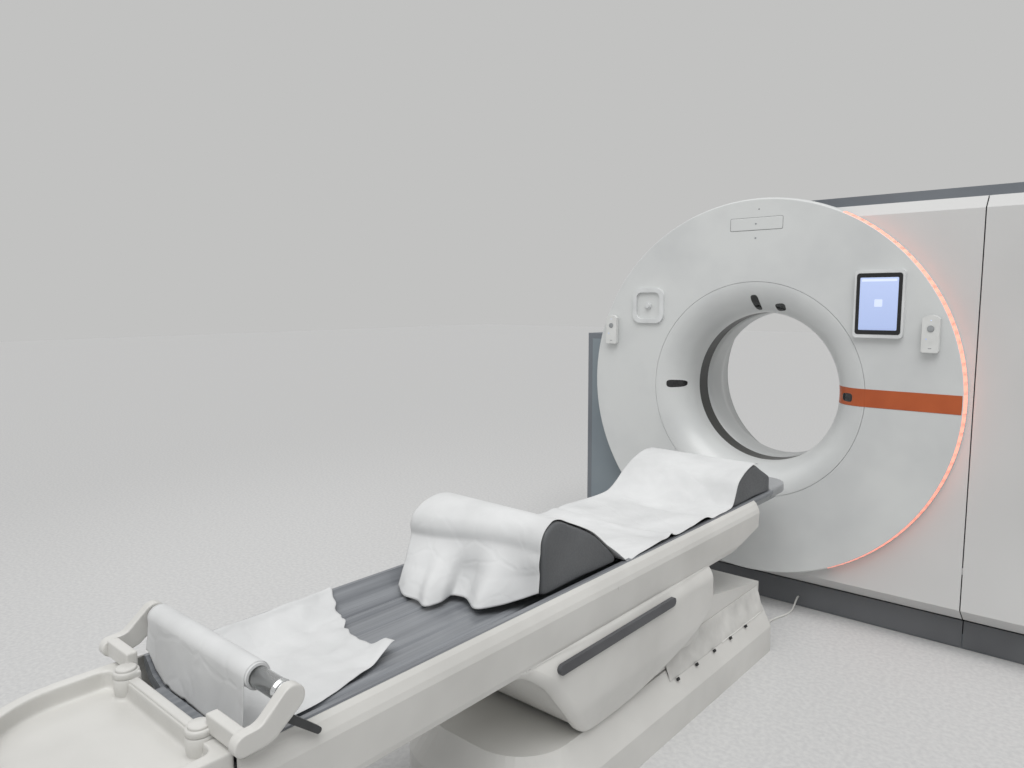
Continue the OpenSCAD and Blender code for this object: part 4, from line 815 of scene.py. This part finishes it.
def plate_loop():
    """Outline in (y, z) of an arm: a round end about the roll, a straight run down and a bend."""
    upper = arc(ROLL_Y, ROLL_Z, 0.0245, 0.0245, 132, -48, 22)
    lower = arc(-2.896, 0.6735, 0.018, 0.019, 280, 95, 16)
    bend = [(-2.8360, 0.6615), (-2.8520, 0.6560)]
    back = [(-2.8740, 0.6935), (-2.8620, 0.6985)]
    return rounded(np.concatenate([upper, bend, lower, back]), 0.0016, 5)


def link(low, high):
    """The bar between a hub and its arm, from x = low to high."""
    return soft_slab(bar_loop(-2.9030, -2.8800, 0.6570, 0.6925), low, high, 0.004, count=20)


def hub(profile, x):
    """A profile of (radius, z) from pole to pole, turned about the holder's upright hub at x."""
    return turned(profile, 2, (x, HUB_Y), 56)


def arm_plate(low, high):
    """The arm itself, from x = low to high."""
    return soft_slab(plate_loop(), low, high, 0.0045, count=8)


HUB_X, HUB_Y = 0.155, -2.909
hub_low = [(0, 0.612), (0.0195, 0.612), (0.0225, 0.616), (0.0242, 0.626), (0.025, 0.634), (0.025, 0.6540),
           (0.0244, 0.6546), (0, 0.6546)]
hub_high = [(0, 0.6552), (0.0244, 0.6552), (0.025, 0.6560), (0.025, 0.6640), (0.0243, 0.6667),
            (0.0225, 0.6680), (0, 0.6680)]
hub_top = [(0, 0.6660), (0.0200, 0.6660), (0.0200, 0.6713), (0.0193, 0.6727), (0.0178, 0.6733), (0, 0.6733)]
strap = soft_slab(bar_loop(-2.9145, -2.8945, 0.6440, 0.6545), -0.150, 0.150, 0.002)
foot_near = soft_slab(bar_loop(-2.9090, -2.8885, 0.6280, 0.6545), 0.1305, 0.1795, 0.004, count=8)
foot_far = soft_slab(bar_loop(-2.9090, -2.8885, 0.6280, 0.6660), -0.1795, -0.1305, 0.004, count=8)
stub_far = [(-0.263, 0), (-0.263, 0.0160), (-0.2405, 0.0160), (-0.2395, 0.0150), (-0.2395, 0)]
stub_near = [(0.2545, 0), (0.2545, 0.0140), (0.263, 0.0140), (0.263, 0)]
holder = [hub(hub_low, HUB_X), hub(hub_top, HUB_X)]
holder += [hub(profile, -HUB_X) for profile in (hub_low, hub_high, hub_top)]
holder += [strap, foot_near, foot_far, link(-0.268, -0.166), arm_plate(-0.2860, -0.2620)]
holder += [on_core(stub_far)]
piece("holder_moulding", holder, table_white, "cradle_top", replaces=["roll_holder"])
arm = [hub(hub_high, HUB_X), link(0.166, 0.268), arm_plate(0.2620, 0.2860)]
arm += [on_core(stub_near)]
piece("arm_moulding", arm, table_white, "roll_arm", replaces=["right_arm"])


# Rear part of the bore
flare = [(0.3500, 0.0455), (0.3500, 0.110), (0.3500, 0.185), (0.3512, 0.200), (0.3545, 0.218),
         (0.3600, 0.236), (0.3672, 0.2535), (0.3765, 0.273), (0.390, 0.300), (0.411, 0.340), (0.433, 0.382),
         (0.452, 0.420), (0.466, 0.452), (0.4755, 0.485), (0.4795, 0.515), (0.4800, 0.544),
         (0.4815, 0.5535), (0.4860, 0.5592), (0.4960, 0.5598), (0.5100, 0.5598)]
walled(piece("rear_bore", turned(flare, 1, (0, BORE_Z), 144), ring_white, "frame", closed=False,
             replaces=["rear_funnel"]), 0.0038, 1.0)


# Cloth skirt of the table
CLIP_PITCH = 0.133
NEAR_HEM_START_Y = -1.02


def skirt_grid(sign):
    """Position over (y, v): v runs from the seam under the shell out over the fold to the hem on the base.
    Between clips the hem sags, and diagonal folds run up from each clip."""
    y = np.linspace(-1.392, -0.640, 150)[:, None]
    v = np.linspace(0, 1, 40)[None]
    x = np.interp(v, [0, 0.25, 0.6, 0.85, 1.0], [0.2232, 0.2275, 0.2400, 0.2490, 0.2527])
    z = np.interp(v, [0, 0.25, 0.6, 0.85, 1.0], [0.262, 0.240, 0.2025, 0.178, 0.1675])
    swell = np.sin(np.pi * v) ** 0.8
    beat = (y + 1.352) / CLIP_PITCH
    fold = 0.5 + 0.5 * np.cos(2 * np.pi * (beat - 0.55 * (1 - v)))
    place = np.stack([y + 0 * v, z + 0 * y], -1)
    out = swell * (0.0028 * fold + 0.0011 * ripple(place * (0.7, 1.4), 41, 0.12) + 0.0008)
    sag = -0.0025 * v**3 * (0.5 - 0.5 * np.cos(2 * np.pi * beat))
    return np.stack([sign * (x + out), y + 0 * v, z + 0.6 * out + sag], -1)


for name, sign in (("skirt_near", 1.0), ("skirt_far", -1.0)):
    points = skirt_grid(sign)
    hem_line = points[::3, -1] + (sign * 0.0012, 0, -0.0004)
    if sign > 0:
        hem_line = hem_line[hem_line[:, 1] > NEAR_HEM_START_Y]
    hem = piece(name + "_hem", tube(hem_line, 0.0022, 8, across=(0, 0, 1)), cable_white, "frame")
    drape = cloth(name, points, skirt_cloth, 0.0012, "frame", replaces=["skirt"])


# Small things on the ring's face
# The trumpet's section is a quarter ellipse about (radius, y), with these half axes
TRUMPET_R, TRUMPET_Y, TRUMPET_WIDE, TRUMPET_DEEP = 0.4875, -0.092, 0.1375, 0.148


def disc(radius, sides=28):
    """Outline of a circle."""
    a = np.linspace(0, 2 * np.pi, sides, endpoint=False)
    return radius * np.stack([np.cos(a), np.sin(a)], -1)


def on_trumpet(angle, radius, length, width, turn=0.0, lift=0.0014):
    """An oval of length along the radius by width across it, turned in its own plane, laid on the trumpet. At
    radius r the trumpet's y is that of a quarter ellipse; the oval stands lift off it, rounds over at its rim
    and is closed by it."""
    a = np.linspace(0, 2 * np.pi, 48, endpoint=False)[None]
    rows = np.array([(0.0, 1.0), (0.55, 1.0), (0.90, 1.0), (0.96, 0.85), (1.0, 0.4), (1.0, -0.6),
                     (0.0, -0.6)])
    k, rise = rows[:, :1], rows[:, 1:]
    oval = [np.sign(wave) * np.abs(wave) ** 0.6 for wave in (np.cos(a), np.sin(a))]
    ring = np.stack([oval[0] * length / 2, oval[1] * width / 2])
    c, d = math.cos(turn), math.sin(turn)
    along = k * (c * ring[0] - d * ring[1])
    across = k * (d * ring[0] + c * ring[1])
    r = radius + along
    theta = math.radians(angle) + across / radius
    cos_t = np.clip((TRUMPET_R - r) / TRUMPET_WIDE, -1, 1)
    sin_t = np.sqrt(1 - cos_t**2)
    r = r - cos_t * lift * rise
    y = TRUMPET_Y - TRUMPET_DEEP * sin_t - sin_t * lift * rise
    return grid(np.stack([r * np.cos(theta), y, BORE_Z + r * np.sin(theta)], -1), along=True)


def small_plate(name, outline, x, z, back_y, front_y, edge, finish):
    """A plate on the ring's face, or on what that carries."""
    piece(name, plaque(outline, x, z, back_y, front_y, edge), finish, "frame")


# Angle, radius, length, width and turn of each sensor pane
panes = [(90.5, 0.396, 0.068, 0.034, 0.10), (74, 0.390, 0.033, 0.049, 0.35), (180, 0.398, 0.074, 0.036, 0.0),
         (0, 0.411, 0.050, 0.036, 0.0)]
for k, spot in enumerate(panes):
    piece(f"sensor_pane_{k}", on_trumpet(*spot), sensor_glass, "frame",
          replaces=["sensor_windows"])
    eye = on_trumpet(spot[0] - 0.6, spot[1], 0.017, 0.017, 0.0, 0.0019)
    piece(f"sensor_eye_{k}", eye, bezel_black, "frame")

# The tablet's page, its tile and the bar at its top
TABLET_X = 0.526
small_plate("tablet_screen", soft_rectangle(0.143, 0.210, 0.004), TABLET_X, 1.395, -0.2608, -0.2616, 0.0003,
            screen_glow)
small_plate("screen_tile", soft_rectangle(0.030, 0.030, 0.004), TABLET_X, 1.398, -0.2614, -0.2619, 0.0002,
            tile_white)
small_plate("screen_bar", soft_rectangle(0.131, 0.010, 0.003), TABLET_X, 1.489, -0.2614, -0.2618, 0.0002,
            tile_white)

# What lies on the cover starts 1.5 mm behind its face
SUNK_Y = FACE_Y + 0.0015
HATCH_X, HATCH_Z = 0.001, BORE_Z + 0.742
small_plate("hatch_gap", soft_rectangle(0.2410, 0.0570, 0.007), HATCH_X, HATCH_Z, SUNK_Y, -0.2403, 0.0002,
            gap_black)
small_plate("hatch", soft_rectangle(0.2380, 0.0540, 0.006), HATCH_X, HATCH_Z, SUNK_Y, -0.2412, 0.0009,
            ring_white)
for k, (z, front_y) in enumerate([(HATCH_Z, -0.2421), (BORE_Z + 0.680, -0.2409)]):
    small_plate(f"face_screw_{k}", disc(0.0042), 0.0, z, SUNK_Y, front_y, 0.0006, screw_steel)
# The pointer's hole is a flat dark grey disc: painted shade in the hole
small_plate("pointer_hole", disc(0.0028), 0.012, BORE_Z + 0.805, SUNK_Y, -0.2404, 0.0003, gap_black)

# A lamp, a light and a mark on each hand remote
REMOTE_BACK_Y, LAMP_FRONT_Y = -0.2655, -0.2665
for k, (x, z) in enumerate([(0.719, 1.280), (-0.738, 1.265)]):
    small_plate(f"remote_lamp_{k}", disc(0.0022, 16), x, z + 0.052, REMOTE_BACK_Y, LAMP_FRONT_Y, 0.0004,
                tile_white)
    small_plate(f"remote_led_{k}", disc(0.0026, 16), x - 0.014, z - 0.020, REMOTE_BACK_Y, LAMP_FRONT_Y,
                0.0004, screen_glow)
    small_plate(f"remote_mark_{k}", soft_rectangle(0.012, 0.003, 0.001), x, z - 0.056, REMOTE_BACK_Y, -0.2662,
                0.0002, key_grey)


# Floor, light and finish
FLOOR_HALF = 30
floor_mesh = bpy.data.meshes.new("floor")
corners = [(FLOOR_HALF * x, FLOOR_HALF * y, 0) for x, y in ((-1, -1), (1, -1), (1, 1), (-1, 1))]
floor_mesh.from_pydata(corners, [], [(0, 1, 2, 3)])
floor = placed("floor", floor_mesh)
floor_finish, tree, shader, place = blank("pale vinyl floor", "C9C9C8", 0.6)
shade_between(tree, shader, noise(tree, place, 60.0, 3.0), 0.35, 0.65, "C2C2C2", "CDCDCC")
floor_mesh.materials.append(floor_finish)


def lamp(name, place, aim, size, power):
    """A square soft white light with sides of the given size that faces aim."""
    made = placed(name, bpy.data.lights.new(name, "AREA"))
    made.data.shape, made.data.size, made.data.energy = "SQUARE", size, power
    made.location = place
    made.rotation_mode = "QUATERNION"
    made.rotation_quaternion = (Vector(aim) - Vector(place)).to_track_quat("-Z", "Y")


lamp("soft light over the table", (1.0, -2.6, 3.6), (0.0, -1.5, 0.6), 2.4, 13)
lamp("soft light beside the ring", (-2.8, -1.4, 3.0), (0.0, -0.5, 1.0), 2.2, 14)

sky = placed("soft daylight", bpy.data.lights.new("soft daylight", "SUN"))
sky.data.energy, sky.data.angle = 1.9, 0.9
sky.rotation_mode = "QUATERNION"
sky.rotation_quaternion = Vector((-0.30, 0.42, -1.0)).to_track_quat("-Z", "Y")

# The world: the same pale tone for the camera, gloss and glass, and a weaker white as light
scene.world = bpy.data.worlds.new("studio")
scene.world.use_nodes = True
tree = scene.world.node_tree
tree.nodes.clear()
path = add(tree, "ShaderNodeLightPath")
seen = add(tree, "ShaderNodeMath", {"operation": "MAXIMUM"},
           {0: path.outputs["Is Camera Ray"], 1: path.outputs["Is Glossy Ray"]})
through_glass = add(tree, "ShaderNodeMath", {"operation": "MAXIMUM"},
                    {0: seen.outputs["Value"], 1: path.outputs["Is Transmission Ray"]})
shown = add(tree, "ShaderNodeBackground", {"Color": linear("C2C2C1"), "Strength": 1.0})
given = add(tree, "ShaderNodeBackground", {"Color": linear("FFFFFF"), "Strength": 0.40})
mixed = add(tree, "ShaderNodeMixShader", links={
    0: through_glass.outputs["Value"], 1: given.outputs["Background"], 2: shown.outputs["Background"]})
add(tree, "ShaderNodeOutputWorld", links={"Surface": mixed.outputs["Shader"]})

scene.view_settings.view_transform = "Standard"
